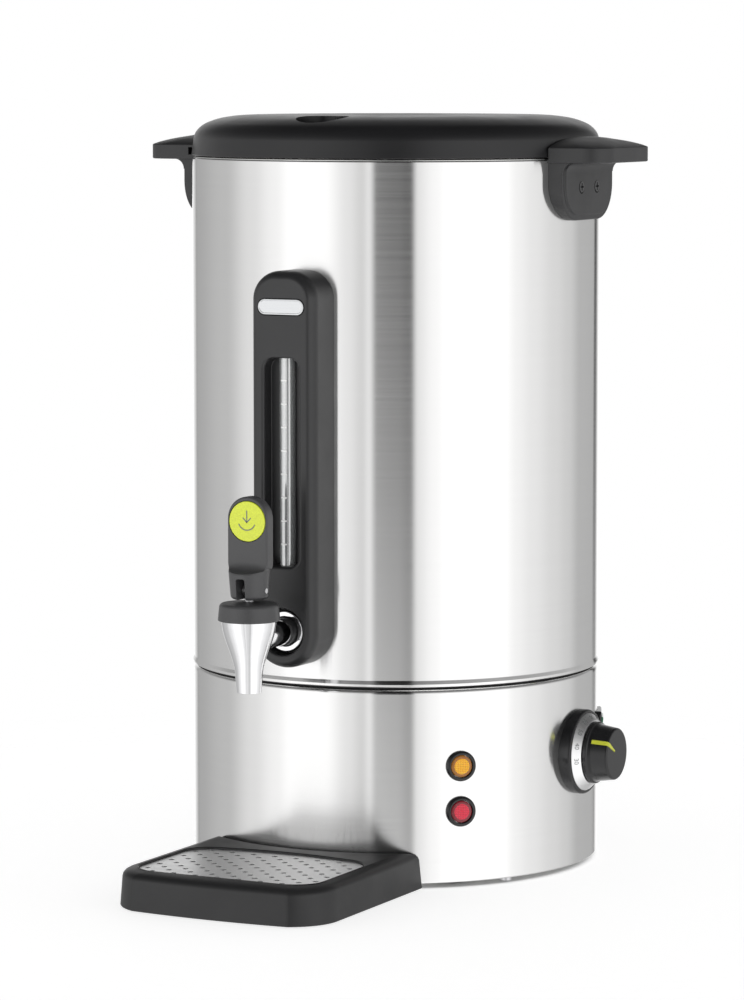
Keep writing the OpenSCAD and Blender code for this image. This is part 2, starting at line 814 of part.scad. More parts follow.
// Silicone ring between the tank flange and the lid
module lid_seal() color("whitesmoke") {
  ring(seal_r + seal_w, seal_r, flange_z, flange_z + 1.4);
  ring(tank_inner - play, seal_r, flange_z - 5, flange_z);
}

// Plan of the wing, drawn in by s towards its inner end
module wing_plan(s) {
  tip = drum_r - 5 + (wing_reach + 5) * s;
  half = wing_w / 2 * s;
  r = wing_r * s;
  translate([drum_r - 12, -half]) square([tip - drum_r + 12 - r, 2 * half]);
  translate([drum_r - 12, -half + r]) square([tip - drum_r + 12, 2 * (half - r)]);
  for (y = [-1, 1]) translate([tip - r, y * (half - r)]) circle(r, $fn = 32);
}

// Shield of the bracket seen from the side, half round below
module bracket_face() {
  translate([-bracket_half, bracket_r]) square([2 * bracket_half, bracket_h - bracket_r + 2]);
  translate([-bracket_half + bracket_r, 0]) square([2 * (bracket_half - bracket_r), bracket_r]);
  for (x = [-1, 1]) translate([x * (bracket_half - bracket_r), bracket_r]) circle(bracket_r);
}

// Lug-locking handle on the +X side: crowned wing on a shield bracket
module handle() color([0.15, 0.15, 0.16]) difference() {
  union() {
    hull() {
      translate([0, 0, wing_z]) linear_extrude(wing_t) wing_plan(1);
      for (s = [0.8, 0.6, 0.4, 0.2])
        translate([0, 0, wing_top + wing_crown * (1 - s * s) - 0.1])
          linear_extrude(0.1) wing_plan(s);
    }
    translate([drum_r - 12, 0, bracket_z]) rotate([90, 0, 90])
      linear_extrude(bracket_x - drum_r + 12) bracket_face();
    translate([drum_r - 12, 0, bracket_z + field_inset]) rotate([90, 0, 90])
      linear_extrude(bracket_x - drum_r + 12 + field_t) field_face();
    difference() {
      translate([bracket_x - 2, -bracket_half, wing_z - blend_r])
        cube([blend_r + 2, 2 * bracket_half, blend_r + 0.5]);
      translate([bracket_x + blend_r, 0, wing_z - blend_r]) rotate([90, 0, 0])
        rod(blend_r, -wing_w, wing_w);
    }
  }
  drum_cut(drum_r + fit, bracket_z - over, rim_z + 0.4);
  drum_cut(lid_rim_r + play + 0.4, rim_z + 0.3, wing_top + wing_crown + over);
  rotate([0, 0, -lug_start]) rotate_extrude(angle = slot_angle)
    translate([drum_r - 2, lid_z - 0.3]) square([lug_w + 3.2, lug_h + 3 * play]);
  for (y = [-1, 1]) translate([0, y * screw_pitch / 2, screw_z]) sideways() {
    rod(screw_d / 2 + fit, drum_r - 14, bracket_x + 8);
    rod(screw_head_d / 2 + 0.4, bracket_x - screw_head_t - 0.2, bracket_x + 8);
  }
}

// Raised field inside the bracket's shield
module field_face() {
  r = bracket_r - field_inset;
  w = bracket_half - field_side;
  translate([-w, r]) square([2 * w, bracket_h - r - 1]);
  translate([-w + r, 0]) square([2 * (w - r), r]);
  for (x = [-1, 1]) translate([x * (w - r), r]) circle(r);
}

module handle_right() handle();
module handle_left() rotate([0, 0, 180]) handle();

// Both handles' screws, two on each side
module handle_screws() color("black") for (s = [0, 180]) rotate([0, 0, s]) for (y = [-1, 1])
  translate([0, y * screw_pitch / 2, screw_z]) sideways() difference() {
    union() {
      rod(screw_d / 2, inner_r - 6.5, bracket_x - 1);
      rod(screw_head_d / 2, bracket_x - screw_head_t, bracket_x);
    }
    translate([0, 0, bracket_x]) cube([1, 4.6, 2], center = true);
    translate([0, 0, bracket_x]) cube([4.6, 1, 2], center = true);
  }

// Nuts of the handle screws, behind the outer shell
module handle_nuts() color("silver") for (s = [0, 180]) rotate([0, 0, s]) for (y = [-1, 1])
  translate([0, y * screw_pitch / 2, screw_z]) sideways() difference() {
    translate([0, 0, handle_nut_x]) cylinder(r = 4, h = handle_nut_t, $fn = 6);
    rod(screw_d / 2 + fit, handle_nut_x - handle_nut_t, drum_r);
  }

// Window recess seen from the front, grown by g
module window_shape(g) translate([0, window_z + window_h / 2])
  round_rect(window_w + 2 * g, window_h + 2 * g, window_r + g);

// Moulded panel with window recess, tap well and badge recess
module front_panel() color([0.17, 0.17, 0.18]) difference() {
  union() {
    difference() {
      translate([0, -panel_back, 0]) soft_slab(panel_w / 2, panel_z, panel_top, panel_top_r,
        panel_face - panel_back, panel_edge);
      translate([0, -panel_back + over, 0])
        soft_slab(panel_w / 2 - panel_t, panel_z + panel_t, panel_top - panel_t,
          panel_top_r - panel_t, panel_face - panel_back - panel_t + over, panel_edge - panel_t);
    }
    forward() translate([0, 0, panel_face - window_depth - panel_t])
      linear_extrude(window_depth + panel_t - 0.5) window_shape(panel_t);
    translate([0, 0, tap_z]) forward() rod(nut_well_r + panel_t, drum_r, panel_face - 1);
    translate([0, 0, panel_screw_z]) forward() rod(panel_boss_r, drum_r, panel_face - panel_t / 2);
  }
  drum_cut(drum_r + fit, panel_z - over, panel_top + over);
  forward() translate([0, 0, panel_face - window_depth])
    linear_extrude(window_depth + over) window_shape(0);
  translate([0, -glass_y, 0])
    rod(glass_d / 2 + play, lower_fitting_z + 2, upper_fitting_z + fitting_h - 2);
  translate([0, 0, tap_z]) forward() {
    rod(nut_well_r, nut_seat, panel_face + over);
    rod(shank_d / 2 + fit, drum_r - over, panel_face);
  }
  translate([0, 0, panel_screw_z]) forward() rod(panel_pilot_r, drum_r, drum_r + 12);
  translate([0, -panel_face - over, badge_z]) rotate([-90, 0, 0])
    linear_extrude(badge_recess + over)
      round_rect(badge_w + 2 * fit, badge_h + 2 * fit, badge_h / 2 + fit - 0.01);
}

// Screw that draws the panel's head to the shell from inside
module panel_screw() color("silver") translate([0, 0, panel_screw_z]) forward() {
  rod(1.25, inner_r - 1, drum_r + 10);
  rod(3.2, inner_r - 2.4, inner_r - 0.2);
}

// Bare plate in the panel's upper recess
module panel_badge() color("silver") translate([0, 0, badge_z]) {
  span = badge_w / 2 - badge_h / 2;
  plate_back = panel_face - badge_recess;
  for (x = [-span, span]) translate([x, -plate_back, 0]) soft_disc(badge_h / 2, badge_t, badge_edge);
  translate([0, -plate_back, 0]) {
    soft_strip(badge_h / 2, badge_t, badge_edge, 2 * span);
    mirror([0, 0, 1]) soft_strip(badge_h / 2, badge_t, badge_edge, 2 * span);
  }
}

// Glass tube of the level gauge
module sight_glass() color([0.85, 0.9, 0.92]) translate([0, -glass_y, 0])
  ring(glass_d / 2, glass_d / 2 - glass_t, lower_fitting_z + glass_seat,
    upper_fitting_z + fitting_h - glass_seat);

// Elbow that joins the glass to the tank; up is 1 where the glass enters from above
module gauge_fitting(z, up) color("gray") difference() {
  union() {
    translate([0, -glass_y, z]) rod(collar_r, 0, fitting_h);
    translate([0, 0, z + branch_z]) forward() {
      rod(branch_d / 2, tank_inner - 10, glass_y);
      rod(collar_r, drum_r + 0.4, drum_r + 6);
    }
  }
  translate([0, -glass_y, z]) {
    rod(glass_d / 2 + fit, up == 1 ? glass_seat - fit : -over,
      up == 1 ? fitting_h + over : fitting_h - glass_seat + fit);
    rod(glass_d / 2 - glass_t, up == 1 ? 2 : 0, up == 1 ? fitting_h : fitting_h - 2);
  }
  translate([0, 0, z + branch_z]) forward() rod(2.5, tank_inner - 20, glass_y);
}

module gauge_fitting_lower() gauge_fitting(lower_fitting_z, 1);
module gauge_fitting_upper() gauge_fitting(upper_fitting_z, 0);

// Sealing rings where the glass enters its fittings
module gauge_seals() color("orangered") translate([0, -glass_y, 0]) {
  ring(collar_r, glass_d / 2 + fit, lower_fitting_z + fitting_h, lower_fitting_z + fitting_h + seal_t);
  ring(collar_r, glass_d / 2 + fit, upper_fitting_z - seal_t, upper_fitting_z);
}

// Nuts of the gauge fittings inside the tank
module gauge_nuts() color("silver") for (z = [lower_fitting_z, upper_fitting_z])
  translate([0, 0, z + branch_z]) forward() difference() {
    translate([0, 0, tank_inner - branch_nut_t - 0.5]) cylinder(r = branch_nut_r, h = branch_nut_t, $fn = 6);
    rod(branch_d / 2 + fit, tank_inner - 10, tank_inner);
  }

// Threaded tube that carries the tap
module tap_shank() color("silver") translate([0, 0, tap_z]) forward()
  ring(shank_d / 2, shank_bore / 2, shank_tail, shank_tip);

// Chrome nut in the panel's well
module tap_nut() color("whitesmoke") translate([0, 0, tap_z]) forward() rotate_extrude() polygon(concat(
  [[shank_d / 2 + fit, nut_seat], [nut_d / 2, nut_seat]],
  arc(nut_d / 2 - nut_edge, nut_face - nut_edge, nut_edge, 0, 90, 6),
  [[shank_d / 2 + fit, nut_face]]
));

// Black collar between the nut and the tap's arm
module tap_sleeve() color("black") translate([0, 0, tap_z]) forward()
  ring(shank_d / 2 + 2.2, shank_d / 2 + fit, nut_face, sleeve_face);

// Silicone washer inside the tank and spacer between the walls
module tap_washers() color("white") {
  difference() {
    translate([0, 0, tap_z]) forward() ring(washer_r, shank_d / 2 + fit, tank_outer - 2, inner_r + 2);
    drum_cut(tank_outer + fit / 2, tap_z - washer_zone, tap_z + washer_zone);
    difference() {
      rod(drum_r + 5, tap_z - washer_zone, tap_z + washer_zone);
      drum_cut(inner_r - fit / 2, tap_z - washer_zone - over, tap_z + washer_zone + over);
    }
  }
  intersection() {
    translate([0, 0, tap_z]) forward()
      ring(washer_r, shank_d / 2 + fit, tank_inner - washer_t - 0.6, tank_inner + 2);
    drum_cut(tank_inner - fit / 2, tap_z - washer_zone, tap_z + washer_zone);
  }
}

// Nut that clamps the tap from inside the tank
module tank_nut() color("silver") translate([0, 0, tap_z]) forward() difference() {
  translate([0, 0, tank_inner - washer_t - tank_nut_t - 0.6])
    cylinder(r = tank_nut_r, h = tank_nut_t, $fn = 6);
  rod(shank_d / 2 + fit, tank_inner - 12, tank_inner);
}

// Tap body: arm, valve chamber and flared nozzle
module tap_body() color("whitesmoke") difference() {
  union() {
    translate([0, -tap_y, 0]) rotate_extrude() polygon(concat(
      [[0, mouth_z], [mouth_r - 0.4, mouth_z], [mouth_r, mouth_z + 0.4]],
      [for (i = [0 : 12]) let (t = i / 12)
        [nozzle_r + (funnel_r - nozzle_r) * ease(t), nozzle_z + (funnel_z - nozzle_z) * t]],
      [[neck_r, funnel_z], [neck_r, funnel_z + neck_h], [0, funnel_z + neck_h]]
    ));
    translate([0, 0, tap_z]) forward() rod(arm_d / 2, sleeve_face, tap_y);
  }
  translate([0, -tap_y, 0]) {
    rod(outlet_d / 2, mouth_z - over, seat_z + over);
    translate([0, 0, mouth_z - 0.1]) cylinder(r1 = outlet_d / 2 + 1.2, r2 = outlet_d / 2, h = 3);
    rod(chamber_r, seat_z, funnel_z + neck_h + over);
  }
  translate([0, 0, tap_z]) forward() {
    rod(shank_bore / 2, sleeve_face, tap_y);
    rod(shank_d / 2 + fit, sleeve_face - over, shank_tip + fit);
  }
}

// Black cap on the tap body, which guides the stem
module tap_cap() color([0.16, 0.16, 0.17]) translate([0, -tap_y, 0]) rotate_extrude() difference() {
  polygon(concat(
    [[0, cap_z], [cap_r - 0.5, cap_z], [cap_r, cap_z + 0.5], [cap_r - 1, cap_top - 2]],
    arc(cap_r - 3, cap_top - 2.2, 2, 5, 80, 6),
    [[8, cap_top + cap_crown * 0.6], [0, cap_top + cap_crown]]
  ));
  translate([0, cap_z - over]) square([neck_r + fit, neck_h + over]);
  translate([0, cap_z]) square([stem_d / 2 + running, cap_h + cap_crown + over]);
  translate([0, cap_z]) square([chamber_r, chamber_top - cap_z]);
}

// Valve stem with the eye that takes the lever pin
module valve_stem() color("silver") translate([0, -tap_y, 0]) difference() {
  union() {
    rod(stem_d / 2, seat_z + 3, pin_z);
    rod(spring_r + 1.2, spring_seat - 1.5, spring_seat);
    translate([0, 0, pin_z]) sideways() rod(eye_r, -stem_d / 2, stem_d / 2);
  }
  translate([0, 0, pin_z]) sideways() rod(pin_d / 2 + 0.02, -stem_d, stem_d);
}

// Silicone cup that closes the outlet
module seat_cup() color("linen") translate([0, -tap_y, 0]) rotate_extrude() difference() {
  polygon([
    [0, seat_z + fit], [cup_r - 1.8, seat_z + fit], [cup_r, seat_z + 1.4],
    [cup_r - 2, seat_z + cup_h], [0, seat_z + cup_h]
  ]);
  translate([0, seat_z + 3 - fit]) square([stem_d / 2 + fit, cup_h]);
}

// Height of the spring's wire after t turns: the end turns lie close, the others share the rest
function spring_rise(t) =
  let (span = spring_top - spring_foot - spring_wire)
  spring_foot + spring_wire / 2 + (t < 1 ? spring_end * t
    : t > spring_turns - 1 ? span - spring_end * (spring_turns - t)
    : spring_end + (span - 2 * spring_end) * (t - 1) / (spring_turns - 2));

// Points of the spring's wire, ring after ring
function spring_points() = [
  for (i = [0 : spring_turns * spring_steps], k = [0 : spring_sides - 1])
    let (turn = 360 * i / spring_steps, side = 360 * k / spring_sides,
      r = spring_r + spring_wire / 2 * cos(side))
    [r * cos(turn), r * sin(turn), spring_rise(i / spring_steps) + spring_wire / 2 * sin(side)]
];

// Triangles of the wire's skin and of its two ends
function spring_faces() =
  let (n = spring_sides, last = spring_turns * spring_steps)
  concat(
    [for (i = [0 : last - 1], k = [0 : n - 1]) let (a = i * n + k, b = i * n + (k + 1) % n)
      each [[a, b, b + n], [a, b + n, a + n]]],
    [for (k = [1 : n - 2]) [0, k + 1, k]],
    [for (k = [1 : n - 2]) [last * n, last * n + k, last * n + k + 1]]
  );

// Return spring on the stem, a coil drawn at its compressed length
module tap_spring() color("silver") translate([0, -tap_y, 0])
  polyhedron(spring_points(), spring_faces());

// Pin through the lever and the stem's eye
module lever_pin() color("silver") translate([0, -tap_y, pin_z]) sideways()
  rod(pin_d / 2, -heel_d / 2 - 0.4, heel_d / 2 + 0.4);

// Front half of the side outline of the lever's skirt: the ledge and its blend into a face at y
function ledge_points(y) = [
  [skirt_d, heel_z - over], [skirt_d, brim_z], [skirt_d / 2, brim_z], [y + 3, brim_z + 1.9],
  [y + 1.2, brim_z + 2.8], [y + 0.3, brim_z + 4.2], [y, root_z + over]
];

// Side outline of the lever's skirt; x points forward
module skirt_side()
  let (back = ledge_points(pad_t - pad_front))
  polygon(concat(
    ledge_points(pad_front),
    [for (i = [len(back) - 1 : -1 : 0]) [-back[i][0], back[i][1]]]
  ));

// Round skirt that turns into the paddle's section, with a ledge in front and behind
module lever_skirt() intersection() {
  hull() {
    rotate_extrude() polygon(concat(
      [[0, heel_z]],
      arc(heel_d / 2 - heel_round, heel_z + heel_round, heel_round, 270, 360, 4),
      [[0, heel_z + heel_round]]
    ));
    rod(skirt_d / 2, brim_z + 1.6, brim_z + 1.9);
    translate([0, pad_t - pad_front, root_z - 0.3]) soft_bar(pad_r, pad_t, pad_edge, 0.3 + over);
  }
  rotate([90, 0, -90]) translate([0, 0, -pad_w]) linear_extrude(2 * pad_w) skirt_side();
}

// Lever: round skirt and upright paddle, with the stem slot, pin bore and disc recess
module lever() color([0.16, 0.16, 0.17]) translate([0, -tap_y, 0]) difference() {
  union() {
    lever_skirt();
    translate([0, pad_t - pad_front, 0]) {
      translate([0, 0, lever_top - pad_r]) soft_disc(pad_r, pad_t, pad_edge);
      translate([0, 0, root_z]) soft_bar(pad_r, pad_t, pad_edge, lever_top - pad_r - root_z);
    }
  }
  translate([0, 0, pin_z]) sideways() rod(pin_d / 2 + running, -pad_w, pad_w);
  translate([-slot_w / 2, -skirt_d, heel_z - over])
    cube([slot_w, skirt_d + eye_r + 0.8, slot_top - slot_w / 2 - heel_z + over]);
  translate([0, 0, slot_top - slot_w / 2]) forward()
    rod(slot_w / 2, -eye_r - 0.8, skirt_d);
  translate([0, -pad_front - over, disc_z]) rotate([-90, 0, 0])
    rod(disc_d / 2 + fit, 0, disc_recess + over);
}

// Coloured disc in the lever's paddle
module lever_disc() color([0.75, 0.85, 0.15]) translate([0, -tap_y - pad_front + disc_recess, disc_z])
  soft_disc(disc_d / 2, disc_t, 0.5);

// Half of the tray's outline from its back corner to the middle of its front, drawn in by g
function tray_half(g, r) =
  let (
    half = tray_w / 2 - g,
    front = tray_front - g,
    bow_r = (pow(tray_w / 2, 2) + pow(tray_bow, 2)) / (2 * tray_bow),
    corner_y = front - tray_bow - r + 1.4
  )
  concat(
    [[half - 1, -tray_back], [half, -tray_back - 40]],
    arc(half - r, -corner_y, r, 0, -72, 8),
    [for (i = [1 : 4]) let (x = (half - r * 0.7) * (1 - i / 4))
      [x, -front + (bow_r - sqrt(bow_r * bow_r - x * x))]]
  );

// Closed outline of the tray, drawn in by g
function tray_outline(g, r) = let (h = tray_half(g, r), n = len(h))
  concat(h, [for (i = [n - 2 : -1 : 0]) [-h[i][0], h[i][1]]]);

// Slice of the tray at height z
module tray_slice(z, g) translate([0, 0, z]) linear_extrude(0.1)
  polygon(tray_outline(g, tray_r - g / 2));

// Opening of the grid, grown by g, bowed at its back
module grid_shape(g) {
  middle = -tray_front + grid_inset + grid_d / 2;
  translate([0, middle]) {
    round_rect(grid_w + 2 * g, grid_d + 2 * g, grid_r + g);
    intersection() {
      translate([0, grid_d / 4]) square([grid_w - 2 * grid_r, grid_d / 2 + 3 * grid_bow], center = true);
      translate([0, grid_d / 2 - grid_bow_r + grid_bow + g]) circle(grid_bow_r);
    }
  }
}

// Outer form of the tray, drawn in by t
module tray_form(t) hull() {
  tray_slice(tray_z - (t > 0 ? over : 0), 0.6 + t);
  tray_slice(tray_z + 0.6, t);
  tray_slice(tray_h - 2.6 - t, tray_draft + t);
  tray_slice(tray_h - 0.9 - t, tray_draft + 0.6 + t);
  tray_slice(tray_h + 0.1 - t, tray_draft + 2.2 + t);
  tray_slice(tray_h + tray_crown - 0.5 - t, tray_draft + 6 + t);
  tray_slice(tray_h + tray_crown - 0.1 - t, tray_draft + 9.5 + t);
}

// Tongue that goes under the base, longer in front by g
module tray_tongue(g) translate([-tongue_w / 2, -drum_r - g, tongue_z])
  cube([tongue_w, drum_r - tongue_y + g, tongue_t]);

// Space under the tray's rim, between its skirt and the wall of the basin
module tray_hollow() difference() {
  tray_form(tray_t);
  drum_cut(drum_r + tray_gap + tray_t, -2 * over, tray_h + 10);
  translate([0, 0, -2 * over]) linear_extrude(ledge_z - tray_t + 2 * over)
    grid_shape(tray_t - grid_ledge);
  translate([0, 0, ledge_z - tray_t]) linear_extrude(tray_h) grid_shape(grid_play + tray_t);
  tray_tongue(grid_d / 2);
}

// Drip tray: a hollow moulding with its basin, ledge and the tongue that goes under the base
module drip_tray() color([0.16, 0.16, 0.17]) difference() {
  union() {
    tray_form(0);
    tray_tongue(0);
  }
  difference() {
    drum_cut(drum_r + tray_gap, -over, tray_h + 10);
    tray_tongue(5);
  }
  translate([0, 0, ledge_z]) linear_extrude(tray_h) grid_shape(grid_play);
  translate([0, 0, tray_floor]) linear_extrude(tray_h) grid_shape(-grid_ledge);
  tray_hollow();
}

// Perforated plate of the tray, its holes set in staggered rows
module drip_grid() color("silver") {
  columns = floor((grid_w / 2 - grid_margin) / drain_pitch - 0.5);
  rows = floor((grid_d / 2 - grid_margin) / drain_pitch);
  middle = -tray_front + grid_inset + grid_d / 2;
  translate([0, 0, grid_top - grid_t]) linear_extrude(grid_t) difference() {
    grid_shape(0);
    for (i = [-columns - 1 : columns], j = [-rows : rows])
      if ((i + j + 100) % 2 == 0 && drain_clear(abs(i + 0.5) * drain_pitch, abs(j) * drain_pitch))
        translate([(i + 0.5) * drain_pitch, middle + j * drain_pitch]) circle(drain_d / 2, $fn = 20);
  }
}

// True where a drain hole clears the rounded corners of the grid
function drain_clear(x, y) =
  let (dx = x - grid_w / 2 + grid_r, dy = y - grid_d / 2 + grid_r)
  dx <= 0 || dy <= 0 || norm([dx, dy]) < grid_r - grid_margin + 1;

// Thermostat behind the base shell, with its strap, bush and tabs
module thermostat_body() color("ivory") translate([0, 0, knob_z]) difference() {
  union() {
    translate([thermostat_back, -thermostat_w / 2, -thermostat_w / 2])
      cube([thermostat_front - thermostat_back, thermostat_w, thermostat_w]);
    translate([thermostat_front, -strap_w / 2, -strap_h / 2]) cube([strap_t, strap_w, strap_h]);
    sideways() rod(bush_r, thermostat_front, inner_r - 0.4);
    for (z = [-12, 0, 12]) translate([thermostat_back - 7, -12 + z / 4, z - 0.5]) cube([7, 6, 1]);
  }
  sideways() rod(shaft_d / 2 + running, thermostat_front - shaft_depth - 2 * sheet_t, drum_r);
}

// Quarter turn of the sensor's tube, from +X towards +Y of its own plane
module tube_turn() rotate_extrude(angle = 90) translate([tube_bend, 0]) circle(tube_r, $fn = 24);

// Sensor bulb under the tank and its line down to the thermostat
module sensor_line() color("peru") translate([sensor_x, sensor_y, 0]) {
  rod(tube_r, sensor_z + tube_bend, bulb_z - tube_bend);
  translate([tube_bend, 0, sensor_z + tube_bend]) rotate([-90, 0, 0]) rotate([0, 0, 90]) tube_turn();
  translate([tube_bend, 0, sensor_z]) sideways()
    rod(tube_r, 0, thermostat_back - fit - sensor_x - tube_bend);
  translate([-tube_bend, 0, bulb_z - tube_bend]) rotate([90, 0, 0]) tube_turn();
  translate([-tube_bend, 0, bulb_z]) sideways() rod(bulb_r, -bulb_l, 0);
}

// Shaft that joins the thermostat and the knob
module thermostat_shaft() color("silver") translate([0, 0, knob_z]) sideways()
  rod(shaft_d / 2, thermostat_front - shaft_depth, knob_tip - shaft_grip);

// Black bezel that carries the dial
module knob_bezel() color([0.14, 0.14, 0.15]) difference() {
  translate([0, 0, knob_z]) sideways() rotate_extrude() difference() {
    translate([0, drum_r - 4]) edge_profile(bezel_d / 2, bezel_reach + 4, 1.4);
    translate([0, dial_seat]) square([dial_d / 2 + fit, bezel_reach]);
    translate([0, drum_r - 10]) square([hub_r, 20]);
  }
  drum_cut(drum_r + fit, knob_z - bezel_d, knob_z + bezel_d);
}

// Conical dial ring
module dial_ring() color("whitesmoke") translate([0, 0, knob_z]) sideways() rotate_extrude()
  polygon([
    [hub_r, dial_seat + fit], [dial_d / 2, dial_seat + fit], [dial_d / 2, dial_z],
    [knob_d / 2 + 2 * play, knob_inner - play], [knob_d / 2 - 3, knob_inner - play],
    [hub_r, dial_z]
  ]);

// Thermostat knob: skirt, waist and drawn-in grip
module knob() color([0.12, 0.12, 0.13]) difference() {
  translate([0, 0, knob_z]) sideways() rotate_extrude() polygon(concat(
    [[shaft_d / 2 + 0.02, knob_inner], [knob_d / 2, knob_inner], [knob_d / 2, knob_inner + 1.6],
     [knob_d / 2 - 0.8, knob_inner + 2.6], [knob_d / 2 - 1.5, knob_inner + 4]],
    arc(knob_face_d / 2 - 1.1, knob_tip - 1.5, 1.5, 8, 90, 6),
    [[0, knob_tip], [0, knob_tip - shaft_grip], [shaft_d / 2 + 0.02, knob_tip - shaft_grip]]
  ));
  pointer_cut(0);
}

// Groove of the pointer over the knob's side and face, or the inlay when g is a gap
module pointer_cut(g) translate([0, 0, knob_z]) rotate([pointer_angle, 0, 0]) {
  translate([knob_tip - 0.8 + g, -knob_face_d / 2 - 3, -1.2 + g])
    cube([2, knob_face_d / 2 - 3, 2.4 - 2 * g]);
  translate([knob_inner + 4.6 + g, -knob_d / 2 - 1, -1.2 + g])
    cube([knob_tip - knob_inner - 4.6, knob_d / 2 - knob_face_d / 2 + 1.6 - g, 2.4 - 2 * g]);
}

// Coloured pointer laid into the knob
module knob_pointer() color([0.9, 0.9, 0.2]) intersection() {
  pointer_cut(0.04);
  translate([0, 0, knob_z]) sideways() rotate_extrude() polygon([
    [0, knob_inner], [knob_d / 2 - 1.3, knob_inner + 4],
    [knob_face_d / 2 + 0.2, knob_tip - 1], [knob_face_d / 2 - 0.9, knob_tip + 0.1], [0, knob_tip + 0.1]
  ]);
}

// Frame of the rocker switch
module rocker_frame() color([0.13, 0.13, 0.14]) difference() {
  at_azimuth(rocker_azimuth) translate([0, 0, rocker_z]) forward() difference() {
    translate([0, 0, drum_r - 4]) linear_extrude(6.5) round_rect(rocker_w, rocker_h, 2.5);
    translate([0, 0, drum_r - 8]) linear_extrude(16)
      round_rect(rocker_w - 6, rocker_h - 6, 1);
  }
  drum_cut(drum_r + fit, rocker_z - rocker_h, rocker_z + rocker_h);
}

// Two-winged rocker, pressed in at its top
module rocker_button() color([0.05, 0.45, 0.25]) at_azimuth(rocker_azimuth)
  translate([0, -rocker_hinge, rocker_z]) rotate([90, 0, 90]) {
    linear_extrude(switch_w - 2 * switch_wall - 2 * play, center = true) rotate(-rocker_tilt) polygon([
      [button_root, -button_half + 0.6], [-1.6, -button_half], [-button_wing, -button_half + 0.4],
      [-button_waist, 0], [-button_wing, button_half - 0.4], [-1.6, button_half],
      [button_root, button_half - 0.6]
    ]);
  }

// Housing of the switch behind the shell
module switch_body() color([0.1, 0.1, 0.1]) at_azimuth(rocker_azimuth)
  translate([0, 0, rocker_z]) forward() {
    difference() {
      translate([0, 0, switch_back]) linear_extrude(switch_front - switch_back)
        round_rect(switch_w, switch_h, 1);
      translate([0, 0, drum_r - 16]) linear_extrude(30)
        round_rect(switch_w - 2 * switch_wall, switch_h - 2 * switch_wall, 0.8);
    }
    for (x = [-5, 5], y = [-8, 8]) translate([x, y, switch_back - 4]) cube([1, 5, 8.1], center = true);
  }

// Black bezels of the two lamps
module lamp_bezels() color([0.13, 0.13, 0.14]) for (i = [0, 1]) difference() {
  at_azimuth(lamp_azimuth) translate([0, 0, lamp_z + i * lamp_pitch]) forward()
    rotate_extrude() difference() {
      translate([0, drum_r - 2]) edge_profile(lamp_d / 2, 4.6, 1.4);
      square([lamp_lens_r + fit, drum_r + 10]);
    }
  drum_cut(drum_r + fit, lamp_z - lamp_d, lamp_z + lamp_pitch + lamp_d);
}

// Domed lens of a lamp at height z
module lamp_lens(z) at_azimuth(lamp_azimuth) translate([0, 0, z]) forward() rotate_extrude()
  polygon(concat(
    [[0, lamp_seat], [lamp_lens_r, lamp_seat], [lamp_lens_r, drum_r + 1.4],
     [lamp_lens_r - 0.6, drum_r + 2]],
    [for (i = [0 : 4]) let (t = 1 - i / 4) [(lamp_lens_r - 1.3) * t, drum_r + 2.6 - 0.8 * t * t]]
  ));

module lamp_lens_amber() color([1, 0.6, 0.1]) lamp_lens(lamp_z + lamp_pitch);
module lamp_lens_red() color([0.85, 0.15, 0.2]) lamp_lens(lamp_z);

// Lamp housings behind the shell with their tabs
module lamp_bodies() color("ivory") for (i = [0, 1])
  at_azimuth(lamp_azimuth) translate([0, 0, lamp_z + i * lamp_pitch]) forward() {
    rod(lamp_lens_r - 0.2, lamp_back, lamp_seat - fit);
    difference() {
      rod(lamp_d / 2 - 1, inner_r - 0.6 - lamp_rim_t, inner_r - 0.6);
      rod(lamp_lens_r + fit, lamp_seat - fit, drum_r);
    }
    for (x = [-2.5, 2.5]) translate([x, 0, lamp_back - lamp_tab[1]]) cube(lamp_tab, center = true);
  }

base_shell();
outer_shell();
seam_seal();
inner_tank();
bottom_plate();
feet();
plate_screws();
tie_rods();
heating_plate();
heating_element();
thermal_cutout();
terminal_block();
cable_gland();
gland_locknut();
lid_shell();
lid_liner();
lid_screws();
lid_seal();
handle_right();
handle_left();
handle_screws();
handle_nuts();
front_panel();
panel_screw();
panel_badge();
sight_glass();
gauge_fitting_lower();
gauge_fitting_upper();
gauge_seals();
gauge_nuts();
tap_shank();
tap_nut();
tap_sleeve();
tap_washers();
tank_nut();
tap_body();
tap_cap();
valve_stem();
seat_cup();
tap_spring();
lever_pin();
lever();
lever_disc();
drip_tray();
drip_grid();
thermostat_body();
sensor_line();
thermostat_shaft();
knob_bezel();
dial_ring();
knob();
knob_pointer();
rocker_frame();
rocker_button();
switch_body();
lamp_bezels();
lamp_lens_amber();
lamp_lens_red();
lamp_bodies();
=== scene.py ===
"""Looks of a hot beverage boiler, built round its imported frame.

The drum, lid, handles, panel, tap, tray and controls are classes. Each one takes its
place from the frame's boxes, holds its own sizes as fields, builds its meshes and
dresses them in a finish. Lengths are metres, +Z is up and the tap points to -Y.
"""

import logging
import math
from abc import ABC, abstractmethod
from collections.abc import Callable, Iterable, Sequence
from dataclasses import dataclass, field
from enum import Enum

import bmesh
import bpy
from mathutils import Matrix, Vector


